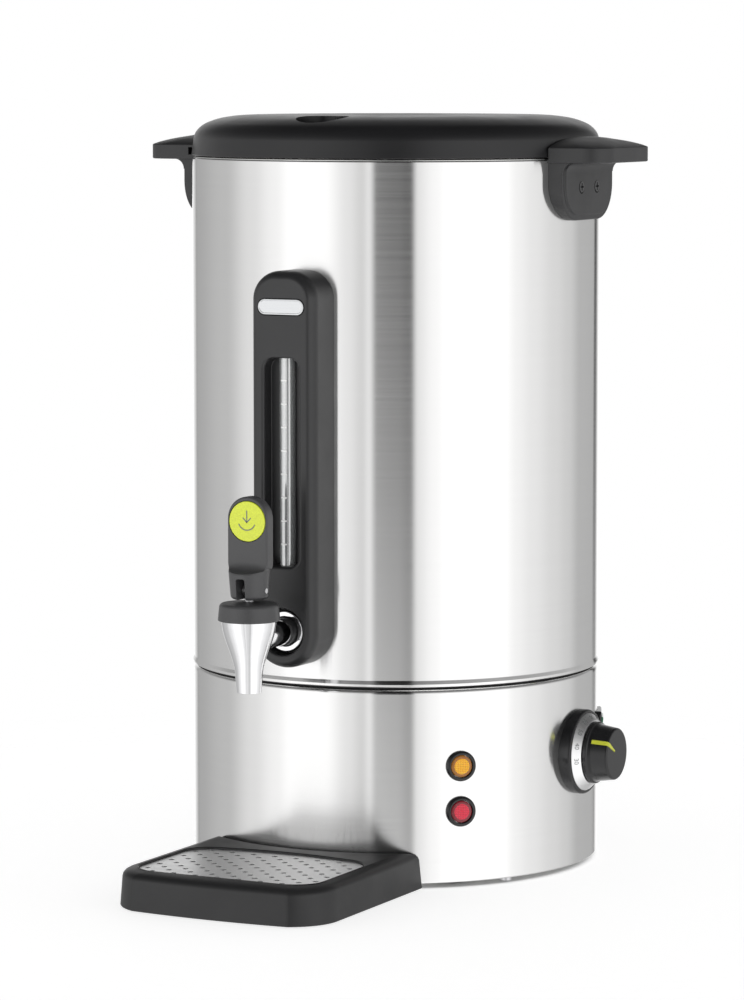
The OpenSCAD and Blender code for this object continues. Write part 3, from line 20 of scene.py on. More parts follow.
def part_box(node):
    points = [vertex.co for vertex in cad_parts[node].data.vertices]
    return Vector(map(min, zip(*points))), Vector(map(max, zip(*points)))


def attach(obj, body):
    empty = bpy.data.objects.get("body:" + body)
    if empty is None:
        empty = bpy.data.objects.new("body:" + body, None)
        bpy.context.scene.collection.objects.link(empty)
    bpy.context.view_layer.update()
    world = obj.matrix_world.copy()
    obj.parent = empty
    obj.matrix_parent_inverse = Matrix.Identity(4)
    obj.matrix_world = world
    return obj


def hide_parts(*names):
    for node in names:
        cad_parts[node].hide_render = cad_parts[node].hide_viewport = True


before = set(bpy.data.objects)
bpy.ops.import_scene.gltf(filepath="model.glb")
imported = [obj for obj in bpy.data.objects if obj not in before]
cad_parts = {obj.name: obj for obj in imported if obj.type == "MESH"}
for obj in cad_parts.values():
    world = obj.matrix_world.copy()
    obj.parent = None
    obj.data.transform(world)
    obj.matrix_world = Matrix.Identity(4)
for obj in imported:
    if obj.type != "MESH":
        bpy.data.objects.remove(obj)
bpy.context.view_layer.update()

log = logging.getLogger("boiler")

MM = 0.001
CREASE = 38.0  # edges that turn by more than these degrees stay sharp
MERGE_DISTANCE = 1e-6  # vertices closer than this become one
POLE_RADIUS = 1e-7  # a profile's point closer to the axis lies on it
DRUM_SEGMENTS = 360
NEARLY_TWO = 2.01  # a plate's height by this gives round ends with a trace of a straight side
NOISE_LOW, NOISE_HIGH = 0.3, 0.7  # most values of the noise texture lie between these
Point = tuple[float, float]
Corner = tuple[float, float, float]
Colour = tuple[float, float, float]
Outline = Callable[[float], list[Point]]
Piece = bpy.types.Object
Socket = bpy.types.NodeSocket


class Brushing(Enum):
    """Direction of the scratches in a brushed metal."""

    AROUND = (9.0, 9.0, 2600.0)
    ALONG_X = (30.0, 1900.0, 1900.0)
    SATIN = (700.0, 700.0, 700.0)


class Side(Enum):
    """Azimuth of a side of the boiler, counted from the tap towards +X."""

    FRONT = 0.0
    RIGHT = 90.0
    BACK = 180.0
    LEFT = 270.0


# Plane shapes


def arc(centre: Point, radius: float, start: float, end: float, steps: int) -> list[Point]:
    """Give points along an arc.

    Args:
        centre: Centre of the arc.
        radius: Radius of the arc.
        start: Angle of the first point, in degrees.
        end: Angle of the last point, in degrees.
        steps: Number of chords.

    Returns:
        steps + 1 points.
    """
    angles = [math.radians(start + (end - start) * i / steps) for i in range(steps + 1)]
    return [(centre[0] + radius * math.cos(a), centre[1] + radius * math.sin(a)) for a in angles]


def round_edge(inset: float, level: float, radius: float, steps: int) -> list[Point]:
    """Give the steps of a round edge that ends in a face at a level."""
    return [(inset + radius - x, level - radius + y) for x, y in arc((0, 0), radius, 0, 90, steps)]


def soften(corners: Sequence[Corner], closed: bool = False, steps: int = 6) -> list[Point]:
    """Round the corners of a polyline.

    Args:
        corners: x, y and rounding radius of each corner; a radius of 0 stays sharp.
        closed: Whether the last corner joins the first.
        steps: Chords in each rounded corner.

    Returns:
        The points of the rounded polyline.
    """
    points: list[Point] = []
    count = len(corners)
    for i, (x, y, radius) in enumerate(corners):
        if radius <= 0 or (not closed and i in (0, count - 1)):
            points.append((x, y))
            continue
        here = Vector((x, y))
        before = (Vector(corners[i - 1][:2]) - here).normalized()
        after = (Vector(corners[(i + 1) % count][:2]) - here).normalized()
        half = before.angle(after) / 2
        centre = here + (before + after).normalized() * (radius / math.sin(half))
        first = here + before * (radius / math.tan(half)) - centre
        last = here + after * (radius / math.tan(half)) - centre
        a = math.atan2(first.y, first.x)
        turn = (math.atan2(last.y, last.x) - a + math.pi) % (2 * math.pi) - math.pi
        for angle in (a + turn * k / steps for k in range(steps + 1)):
            points.append((centre.x + radius * math.cos(angle), centre.y + radius * math.sin(angle)))
    return points


def box_outline(width: float, height: float, radius: float, steps: int = 10) -> list[Point]:
    """Give the outline of a centred rectangle with round corners, counterclockwise."""
    x, y = width / 2, height / 2
    return soften([(-x, -y, radius), (x, -y, radius), (x, y, radius), (-x, y, radius)], True, steps)


def circle_outline(radius: float, steps: int = 64) -> list[Point]:
    """Give the outline of a circle, counterclockwise."""
    return arc((0, 0), radius, 0, 360 - 360 / steps, steps - 1)


def facing(azimuth: float, height: float = 0.0, reach: float = 0.0) -> Matrix:
    """Place a sub-assembly on the drum.

    Args:
        azimuth: Degrees from the tap towards +X.
        height: Height above the table.
        reach: Distance from the drum's axis.

    Returns:
        A matrix whose local X runs round the drum, Y up and Z outwards.
    """
    a = math.radians(azimuth)
    out = Vector((math.sin(a), -math.cos(a), 0))
    along = Vector((math.cos(a), math.sin(a), 0))
    up = Vector((0, 0, 1))
    spot = out * reach + up * height
    return Matrix((
        (along.x, up.x, out.x, spot.x),
        (along.y, up.y, out.y, spot.y),
        (along.z, up.z, out.z, spot.z),
        (0, 0, 0, 1),
    ))


# Meshes


class Skin:
    """A mesh that is stretched over rings of equally many points."""

    def __init__(self, placing: Matrix = Matrix.Identity(4)) -> None:
        """Start an empty mesh whose points are given in the placing's own axes."""
        self.bm = bmesh.new()
        self.placing = placing

    def ring(self, points: Iterable[Sequence[float]]) -> list[bmesh.types.BMVert]:
        """Add a ring of points and return its vertices."""
        return [self.bm.verts.new(self.placing @ Vector(p)) for p in points]

    def flat_ring(self, outline: Iterable[Point], level: float) -> list[bmesh.types.BMVert]:
        """Add an outline as a ring at one level of the local Z axis."""
        return self.ring((x, y, level) for x, y in outline)

    def band(self, lower: list, upper: list, closed: bool = True) -> None:
        """Join two rings by a band of four-sided faces."""
        count = len(lower)
        for i in range(count if closed else count - 1):
            j = (i + 1) % count
            self.bm.faces.new((lower[i], lower[j], upper[j], upper[i]))

    def stack(self, rings: Sequence[list], closed: bool = True) -> None:
        """Join rings one after the other."""
        for lower, upper in zip(rings, rings[1:]):
            self.band(lower, upper, closed)

    def cap(self, ring: list) -> None:
        """Close a ring by one flat face."""
        self.bm.faces.new(ring)

    def solid(self, rings: Sequence[list]) -> None:
        """Join rings one after the other and close both ends."""
        self.stack(rings)
        self.cap(rings[0])
        self.cap(rings[-1])

    def fill(self, *rings: list) -> None:
        """Fill the flat region between an outer ring and the rings of its holes."""
        edges = []
        for ring in rings:
            for i, vert in enumerate(ring):
                after = ring[(i + 1) % len(ring)]
                edges.append(self.bm.edges.get((vert, after)) or self.bm.edges.new((vert, after)))
        bmesh.ops.triangle_fill(self.bm, use_beauty=True, use_dissolve=False, edges=edges)

    def build(self, name: str, crease: float = CREASE) -> Piece:
        """Make the object.

        Args:
            name: Name of the piece.
            crease: Edges that turn by more than these degrees stay sharp.

        Returns:
            The new object, in the scene.
        """
        bmesh.ops.remove_doubles(self.bm, verts=self.bm.verts, dist=MERGE_DISTANCE)
        bmesh.ops.recalc_face_normals(self.bm, faces=self.bm.faces)
        mesh = bpy.data.meshes.new(name)
        self.bm.to_mesh(mesh)
        self.bm.free()
        piece = add_object(name, mesh)
        smooth(piece, crease)
        return piece


def add_object(name: str, data: bpy.types.ID) -> Piece:
    """Put a mesh, a text or a camera into the scene as a new object."""
    piece = bpy.data.objects.new(name, data)
    bpy.context.scene.collection.objects.link(piece)
    return piece


def smooth(piece: Piece, crease: float) -> None:
    """Shade a piece smooth, apart from edges sharper than crease degrees."""
    piece.data.polygons.foreach_set("use_smooth", [True] * len(piece.data.polygons))
    piece.data.set_sharp_from_angle(angle=math.radians(crease))
    weighted = piece.modifiers.get("weighted") or piece.modifiers.new("weighted", "WEIGHTED_NORMAL")
    weighted.keep_sharp = True


def lathe(
    name: str,
    profile: Sequence[Point],
    placing: Matrix = Matrix.Identity(4),
    segments: int = 96,
    closed: bool = True,
) -> Piece:
    """Turn a profile about the local Z axis.

    Args:
        name: Name of the piece.
        profile: Radius and level of each point.
        placing: Place and direction of the local axes.
        segments: Number of segments round the axis.
        closed: Whether the profile's last point joins its first, unless both lie on the axis.

    Returns:
        The new object.
    """
    skin = Skin(placing)
    rings = []
    for radius, level in profile:
        if radius < POLE_RADIUS:
            rings.append(skin.ring([(0, 0, level)]))
        else:
            rings.append(skin.flat_ring(circle_outline(radius, segments), level))
    pairs = list(zip(rings, rings[1:]))
    if closed:
        pairs.append((rings[-1], rings[0]))
    for lower, upper in pairs:
        if len(lower) == len(upper) == segments:
            skin.band(lower, upper)
        elif len(lower) != len(upper):
            pole, rim = (lower[0], upper) if len(lower) == 1 else (upper[0], lower)
            for i in range(segments):
                skin.bm.faces.new((rim[i], rim[(i + 1) % segments], pole))
    return skin.build(name)


def cylinder(
    name: str,
    radius: float,
    low: float,
    high: float,
    placing: Matrix = Matrix.Identity(4),
    segments: int = 96,
) -> Piece:
    """Make a solid cylinder between two levels of the local Z axis."""
    profile = [(0, low), (radius, low), (radius, high), (0, high)]
    return lathe(name, profile, placing, segments)


def tray_of_rings(name: str, placing: Matrix, outline: Outline, steps: Sequence[Point]) -> Piece:
    """Build a solid whose outline draws in from level to level.

    Args:
        name: Name of the piece.
        placing: Place and direction of the local axes.
        outline: Gives the outline drawn in by a distance.
        steps: Distance drawn in and level of each ring, from the back to the front.

    Returns:
        The new object, capped at both ends.
    """
    skin = Skin(placing)
    skin.solid([skin.flat_ring(outline(inset), level) for inset, level in steps])
    return skin.build(name)


def sector(name: str, section: Sequence[Point], start: float, end: float, steps: int = 12) -> Piece:
    """Turn a closed section about the drum's axis through part of a circle.

    Args:
        name: Name of the piece.
        section: Radius and height of each point.
        start: First angle, in degrees from +X.
        end: Last angle.
        steps: Number of steps between them.

    Returns:
        The new object, capped at both ends.
    """
    skin = Skin()
    rings = []
    for i in range(steps + 1):
        a = math.radians(start + (end - start) * i / steps)
        rings.append(skin.ring((r * math.cos(a), r * math.sin(a), z) for r, z in section))
    skin.solid(rings)
    return skin.build(name)


def drum_plug(low: float, high: float, gap: float = 0.05 * MM) -> Piece:
    """Give the drum's solid between two heights, grown by a gap, to cut a piece that lies on it."""
    return cylinder("drum_plug", DRUM_RADIUS + gap, low, high, segments=DRUM_SEGMENTS)


def evaluated_mesh(piece: Piece) -> bpy.types.Mesh:
    """Copy an object's mesh as its modifiers or its text settings make it."""
    graph = bpy.context.evaluated_depsgraph_get()
    return bpy.data.meshes.new_from_object(piece.evaluated_get(graph))


def carve(piece: Piece, *cutters: Piece, mode: str = "DIFFERENCE", crease: float = CREASE) -> Piece:
    """Cut or join a piece with others, which are then deleted.

    Args:
        piece: The piece that stays.
        cutters: The shapes that cut it or join it.
        mode: DIFFERENCE, UNION or INTERSECT.
        crease: Edges that turn by more than these degrees stay sharp.

    Returns:
        The piece.
    """
    for cutter in cutters:
        piece.modifiers.clear()
        cutter.modifiers.clear()
        cut = piece.modifiers.new("cut", "BOOLEAN")
        cut.operation = mode
        cut.solver = "EXACT"
        cut.use_self = mode == "UNION"
        cut.object = cutter
        bpy.context.view_layer.update()
        result = evaluated_mesh(piece)
        old = piece.data
        piece.modifiers.clear()
        piece.data = result
        result.name = piece.name
        bpy.data.meshes.remove(old)
        spare = cutter.data
        bpy.data.objects.remove(cutter)
        bpy.data.meshes.remove(spare)
    smooth(piece, crease)
    return piece


def join(name: str, pieces: Sequence[Piece]) -> Piece:
    """Put several meshes into one object.

    Args:
        name: Name of the new object.
        pieces: The objects whose meshes it takes, which are then deleted.

    Returns:
        The new object.
    """
    bm = bmesh.new()
    for piece in pieces:
        bm.from_mesh(piece.data)
        spare = piece.data
        bpy.data.objects.remove(piece)
        bpy.data.meshes.remove(spare)
    mesh = bpy.data.meshes.new(name)
    bm.to_mesh(mesh)
    bm.free()
    whole = add_object(name, mesh)
    weighted = whole.modifiers.new("weighted", "WEIGHTED_NORMAL")
    weighted.keep_sharp = True
    return whole


# Finishes


class Graph:
    """A node tree with a short way to add and link nodes."""

    def __init__(self, tree: bpy.types.NodeTree) -> None:
        """Take the tree of a material or a world."""
        self.tree = tree

    def add(self, kind: str, **values: object) -> bpy.types.Node:
        """Add a node.

        Args:
            kind: The node's type.
            values: Its properties, or its inputs by name with spaces as underscores.

        Returns:
            The node.
        """
        node = self.tree.nodes.new(kind)
        for key, value in values.items():
            if hasattr(node, key):
                setattr(node, key, value)
            else:
                node.inputs[key.replace("_", " ")].default_value = value
        return node

    def feed(self, value: Socket | float, target: Socket) -> None:
        """Link a socket to an input, or give the input a plain number."""
        if isinstance(value, float):
            target.default_value = value
        else:
            self.tree.links.new(value, target)

    def work_out(self, operation: str, first: Socket | float, second: Socket | float = 0.0) -> Socket:
        """Add a Math node.

        Args:
            operation: What it works out.
            first: Its first value.
            second: Its second value, where the operation has one.

        Returns:
            The result.
        """
        node = self.add("ShaderNodeMath", operation=operation)
        self.feed(first, node.inputs[0])
        self.feed(second, node.inputs[1])
        return node.outputs[0]

    def map_range(self, value: Socket, **limits: object) -> Socket:
        """Add a Map Range node and return its result."""
        span = self.add("ShaderNodeMapRange", **limits)
        self.feed(value, span.inputs["Value"])
        return span.outputs["Result"]

    def choose(self, share: Socket, first: Socket | float, second: Socket | float) -> Socket:
        """Blend two values.

        Args:
            share: Share of the second value.
            first: Value where the share is 0.
            second: Value where the share is 1.

        Returns:
            The blended value.
        """
        mix = self.add("ShaderNodeMix")
        self.feed(share, mix.inputs["Factor"])
        self.feed(first, mix.inputs["A"])
        self.feed(second, mix.inputs["B"])
        return mix.outputs["Result"]

    def seen(self, strength: float) -> Socket:
        """Give strength to camera, glossy and transmission rays, and 0 to the others."""
        path = self.add("ShaderNodeLightPath")
        total = path.outputs["Is Camera Ray"]
        for name in ("Is Glossy Ray", "Is Transmission Ray"):
            total = self.work_out("MAXIMUM", total, path.outputs[name])
        return self.work_out("MULTIPLY", total, strength)


class Nodes(Graph):
    """The node tree of a new material."""

    def __init__(self, name: str) -> None:
        """Start a material with a Principled shader and its output."""
        self.material = bpy.data.materials.new(name)
        self.material.use_nodes = True
        super().__init__(self.material.node_tree)
        self.shader = self.tree.nodes["Principled BSDF"]

    def shade(self, **values: object) -> None:
        """Set inputs of the Principled shader, with spaces as underscores."""
        for key, value in values.items():
            self.shader.inputs[key.replace("_", " ")].default_value = value

    def noise(self, scale: Sequence[float], detail: float = 2.0, size: float = 1.0) -> Socket:
        """Add noise in the boiler's own axes.

        Args:
            scale: Waves per metre along each axis.
            detail: Number of finer layers.
            size: Further scale of the noise.

        Returns:
            The noise's value.
        """
        place = self.add("ShaderNodeTexCoord")
        stretch = self.add("ShaderNodeMapping", Scale=tuple(scale))
        noise = self.add("ShaderNodeTexNoise", Scale=size, Detail=detail, Roughness=0.6)
        self.feed(place.outputs["Object"], stretch.inputs["Vector"])
        self.feed(stretch.outputs["Vector"], noise.inputs["Vector"])
        return noise.outputs["Fac"]

    def spread(self, value: Socket, low: float, high: float) -> Socket:
        """Map a noise value from its usual range to low to high."""
        return self.map_range(value, From_Min=NOISE_LOW, From_Max=NOISE_HIGH, To_Min=low, To_Max=high)

    def tint(self, value: Socket, dark: Colour, light: Colour) -> Socket:
        """Blend between two colours by a noise value.

        Args:
            value: The noise value.
            dark: Colour at its low end.
            light: Colour at its high end.

        Returns:
            The colour.
        """
        ramp = self.add("ShaderNodeValToRGB")
        ramp.color_ramp.elements[0].position = NOISE_LOW
        ramp.color_ramp.elements[0].color = (*dark, 1)
        ramp.color_ramp.elements[1].position = NOISE_HIGH
        ramp.color_ramp.elements[1].color = (*light, 1)
        self.feed(value, ramp.inputs["Fac"])
        return ramp.outputs["Color"]

    def paint(self, value: Socket, dark: Colour, light: Colour) -> None:
        """Blend the base colour between two colours by a noise value."""
        self.feed(self.tint(value, dark, light), self.shader.inputs["Base Color"])

    def wear(self, value: Socket, roughness: float, share: float) -> None:
        """Vary the roughness by a noise value, up and down by a share of itself."""
        varied = self.spread(value, roughness * (1 - share), roughness * (1 + share))
        self.feed(varied, self.shader.inputs["Roughness"])

    def bump(self, value: Socket, depth: float, strength: float = 1.0) -> None:
        """Raise the surface by a value times a depth in metres."""
        bump = self.add("ShaderNodeBump", Strength=strength, Distance=depth)
        self.feed(value, bump.inputs["Height"])
        self.feed(bump.outputs["Normal"], self.shader.inputs["Normal"])


def scaled(colour: Colour, factor: float) -> Colour:
    """Make a colour lighter or darker."""
    return (colour[0] * factor, colour[1] * factor, colour[2] * factor)


class Finish(ABC):
    """A finish that becomes one material, made once."""

    made: dict[str, bpy.types.Material] = {}
    name: str

    @abstractmethod
    def compose(self, nodes: Nodes) -> None:
        """Set the shader and the textures of the finish."""

    def material(self) -> bpy.types.Material:
        """Return the finish's material and make it at the first call."""
        if self.name not in Finish.made:
            nodes = Nodes(self.name)
            self.compose(nodes)
            Finish.made[self.name] = nodes.material
        return Finish.made[self.name]


@dataclass(frozen=True)
class Brushed(Finish):
    """Brushed or satin metal with fine scratches in one direction."""

    name: str
    colour: Colour
    roughness: float
    brushing: Brushing
    anisotropy: float = 0.0
    contrast: float = 0.05
    depth: float = 0.01 * MM
    fine_share: float = 0.6
    broad_scale: float = 0.16

    def compose(self, nodes: Nodes) -> None:
        """Scratches vary the colour, the roughness and the height."""
        fine = nodes.noise(self.brushing.value, 3.0)
        broad = nodes.noise([s * self.broad_scale for s in self.brushing.value], 2.0)
        part = nodes.work_out("MULTIPLY", broad, 1 - self.fine_share)
        scratches = nodes.work_out("ADD", nodes.work_out("MULTIPLY", fine, self.fine_share), part)
        dark, light = scaled(self.colour, 1 - self.contrast), scaled(self.colour, 1 + self.contrast)
        nodes.paint(scratches, dark, light)
        nodes.wear(scratches, self.roughness, 0.2)
        nodes.bump(scratches, self.depth, 0.5)
        nodes.shade(Metallic=1.0, Anisotropic=self.anisotropy)
        if self.anisotropy > 0:
            nodes.shade(Anisotropic_Rotation=0.25)
            tangent = nodes.add("ShaderNodeTangent", direction_type="RADIAL", axis="Z")
            nodes.feed(tangent.outputs["Tangent"], nodes.shader.inputs["Tangent"])


@dataclass(frozen=True)
class Polished(Finish):
    """Polished or plated metal with faint unevenness."""

    name: str
    colour: Colour
    roughness: float

    def compose(self, nodes: Nodes) -> None:
        """Slow noise makes the plating a little uneven."""
        wave = nodes.noise((160.0, 160.0, 160.0), 2.0)
        nodes.paint(wave, scaled(self.colour, 0.96), self.colour)
        nodes.wear(wave, self.roughness, 0.3)
        nodes.bump(wave, 0.00002, 0.2)
        nodes.shade(Metallic=1.0)


@dataclass(frozen=True)
class Moulded(Finish):
    """Moulded plastic or rubber with a fine grain."""

    name: str
    colour: Colour
    roughness: float
    grain: float = 0.35 * MM
    depth: float = 0.02 * MM
    gloss: float = 0.5
    coat: float = 0.0

    def compose(self, nodes: Nodes) -> None:
        """Grain raises the surface, and handling varies its roughness."""
        grain = nodes.noise([1 / self.grain] * 3, 2.0)
        worn = nodes.noise((45.0, 45.0, 45.0), 3.0)
        nodes.paint(grain, scaled(self.colour, 0.85), scaled(self.colour, 1.15))
        nodes.wear(worn, self.roughness, 0.1)
        nodes.bump(grain, self.depth, 0.35)
        nodes.shade(Specular_IOR_Level=self.gloss, Coat_Weight=self.coat, Coat_Roughness=0.08)


@dataclass(frozen=True)
class Clear(Finish):
    """Clear glass with faint drawing lines along its length."""

    name: str
    colour: Colour

    def compose(self, nodes: Nodes) -> None:
        """Glass bends light, and its surface waves a little."""
        wave = nodes.noise((700.0, 700.0, 12.0), 1.0)
        nodes.paint(wave, scaled(self.colour, 0.97), self.colour)
        nodes.bump(wave, 0.00001, 0.3)
        nodes.shade(Roughness=0.05, IOR=1.47, Transmission_Weight=0.6)
        nodes.shade(Coat_Weight=1.0, Coat_Roughness=0.03, Coat_IOR=4.0)


@dataclass(frozen=True)
class Lens(Finish):
    """Translucent coloured plastic, darker at its edges by painted shade; a pitch gives it prisms that
    glow, with painted glints at their tips.
    """

    name: str
    colour: Colour
    glow: float = 0.0
    roughness: float = 0.18
    pitch: float = 0.0
    azimuth: float = 0.0

    def compose(self, nodes: Nodes) -> None:
        """Painted shade: the colour darkens where the surface turns away from the eye."""
        edge = nodes.add("ShaderNodeLayerWeight", Blend=0.35)
        # Painted shade: the colour darkens towards the edges as they turn away from the eye.
        nodes.paint(edge.outputs["Facing"], self.colour, scaled(self.colour, 0.35))
        cloud = nodes.noise((500.0, 500.0, 500.0), 2.0)
        nodes.wear(cloud, self.roughness, 0.2)
        nodes.shade(Emission_Color=(*self.colour, 1.0), Emission_Strength=self.glow)
        if self.pitch > 0:
            self.prisms(nodes)
        nodes.shade(Coat_Weight=0.3, Coat_Roughness=0.05, Subsurface_Weight=0.25, Subsurface_Scale=0.002)

    def prisms(self, nodes: Nodes) -> None:
        """Rows of small prisms stand out, and painted glints make their tips glow brighter."""
        turn = math.radians(self.azimuth)
        place = nodes.add("ShaderNodeTexCoord")
        waves = []
        for way in ((math.cos(turn), math.sin(turn), 0.0), (0.0, 0.0, 1.0)):
            along = nodes.add("ShaderNodeVectorMath", operation="DOT_PRODUCT")
            along.inputs[1].default_value = way
            nodes.feed(place.outputs["Object"], along.inputs[0])
            phase = nodes.work_out("MULTIPLY", along.outputs["Value"], math.pi / self.pitch)
            waves.append(nodes.work_out("SINE", phase))
        tips = nodes.work_out("ABSOLUTE", nodes.work_out("MULTIPLY", *waves))
        # Partly the lamp's own glow, partly painted glints: the emission peaks at each prism's tip.
        glow_and_painted_glints = nodes.spread(tips, self.glow * 0.3, self.glow * 2.2)
        nodes.feed(glow_and_painted_glints, nodes.shader.inputs["Emission Strength"])
        nodes.bump(tips, self.pitch * 0.3, 0.6)


STEEL = Brushed("brushed_steel", (0.80, 0.797, 0.793), 0.15, Brushing.AROUND, 0.9, 0.018, 0.000004)
TANK_STEEL = Brushed("tank_steel", (0.62, 0.62, 0.61), 0.26, Brushing.AROUND, 0.4, 0.04)
GRID_STEEL = Brushed("grid_steel", (0.92, 0.92, 0.92), 0.36, Brushing.ALONG_X, 0.0, 0.03)
ZINC = Brushed("zinc_steel", (0.58, 0.58, 0.59), 0.30, Brushing.SATIN, 0.0, 0.06)
ALUMINIUM = Brushed("cast_aluminium", (0.66, 0.66, 0.66), 0.42, Brushing.SATIN, 0.0, 0.08)
BADGE = Brushed("badge_aluminium", (0.64, 0.65, 0.66), 0.26, Brushing.ALONG_X, 0.0, 0.03)
DIAL = Brushed("dial_aluminium", (0.86, 0.86, 0.86), 0.38, Brushing.SATIN, 0.0, 0.03)
CHROME = Polished("bright_chrome", (0.86, 0.86, 0.87), 0.045)
NICKEL = Polished("gauge_brass", (0.60, 0.57, 0.50), 0.22)
COPPER = Polished("copper_tube", (0.70, 0.40, 0.26), 0.28)
LID_PLASTIC = Moulded("lid_plastic", (0.011, 0.011, 0.012), 0.34, 0.30 * MM, 0.012 * MM)
BLACK_PLASTIC = Moulded("black_plastic", (0.022, 0.022, 0.023), 0.42, 0.30 * MM, 0.015 * MM)
PANEL_PLASTIC = Moulded("panel_plastic", (0.020, 0.020, 0.021), 0.36, 0.28 * MM, 0.012 * MM)
GLOSS_BLACK = Moulded("gloss_black", (0.012, 0.012, 0.013), 0.22, 0.40 * MM, 0.006 * MM)
BLACK_SCREW = Moulded("black_screws", (0.015, 0.015, 0.016), 0.30, 0.25 * MM, 0.010 * MM, 0.7)
LEVER_PLASTIC = Moulded("lever_plastic", (0.060, 0.060, 0.062), 0.40, 0.30 * MM, 0.008 * MM)
RUBBER = Moulded("black_rubber", (0.020, 0.020, 0.020), 0.70, 0.50 * MM, 0.030 * MM, 0.3)
SILICONE = Moulded("pale_silicone", (0.70, 0.69, 0.66), 0.48, 0.60 * MM, 0.010 * MM)
CREAM = Moulded("cream_plastic", (0.62, 0.58, 0.48), 0.45, 0.50 * MM, 0.015 * MM)
LIME = Moulded("lime_plastic", (0.65, 0.73, 0.035), 0.30, 0.50 * MM, 0.004 * MM, 0.5, 0.4)
YELLOW = Moulded("yellow_mark", (0.68, 0.71, 0.05), 0.35, 0.40 * MM, 0.004 * MM)
GLASS = Clear("clear_glass", (0.72, 0.74, 0.74))
WHITE_PRINT = Moulded("white_print", (0.85, 0.85, 0.84), 0.40, 0.30 * MM, 0.002 * MM)
GREY_PRINT = Moulded("grey_print", (0.16, 0.17, 0.17), 0.45, 0.30 * MM, 0.002 * MM)
GREEN = Lens("green_lens", (0.01, 0.22, 0.10))
AMBER = Lens("amber_lens", (0.40, 0.15, 0.015), 0.06)
AMBER_CORE = Lens("amber_core", (0.80, 0.38, 0.008), 0.32, 0.22, 1.05 * MM, 44.5)
RED = Lens("red_lens", (0.26, 0.010, 0.020), 0.05)
RED_CORE = Lens("red_core", (0.62, 0.014, 0.045), 0.36, 0.22, 1.05 * MM, 44.5)


def dress(
    piece: Piece,
    finish: Finish,
    body: str = "root",
    slot: str | None = None,
    replaces: Sequence[str] = (),
) -> Piece:
    """Give a piece its finish, let it ride on a body and hide the frame's nodes that it stands for.

    Args:
        piece: The piece.
        finish: Its finish.
        body: The body that it rides on.
        slot: Not used.
        replaces: The frame's nodes that it stands for.

    Returns:
        The piece.
    """
    piece.data.materials.clear()
    piece.data.materials.append(finish.material())
    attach(piece, body)
    slot or finish.name
    if replaces:
        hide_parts(*replaces)
    return piece


@dataclass(frozen=True)
class Span:
    """The box of a node of the frame."""

    low: Vector
    high: Vector

    @classmethod
    def of(cls, node: str) -> "Span":
        """Read a node's box."""
        return cls(*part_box(node))

    @property
    def centre(self) -> Vector:
        """Middle of the box."""
        return (self.low + self.high) / 2

    @property
    def size(self) -> Vector:
        """Width, depth and height of the box."""
        return self.high - self.low


def box_of(node: str) -> Span:
    """Give a field whose default is a node's box."""
    return field(default_factory=lambda: Span.of(node))


DRUM_RADIUS = Span.of("base_shell").high.x


class Assembly(ABC):
    """A sub-assembly that builds and dresses its own pieces."""

    @abstractmethod
    def build(self) -> list[Piece]:
        """Build the pieces and return them."""


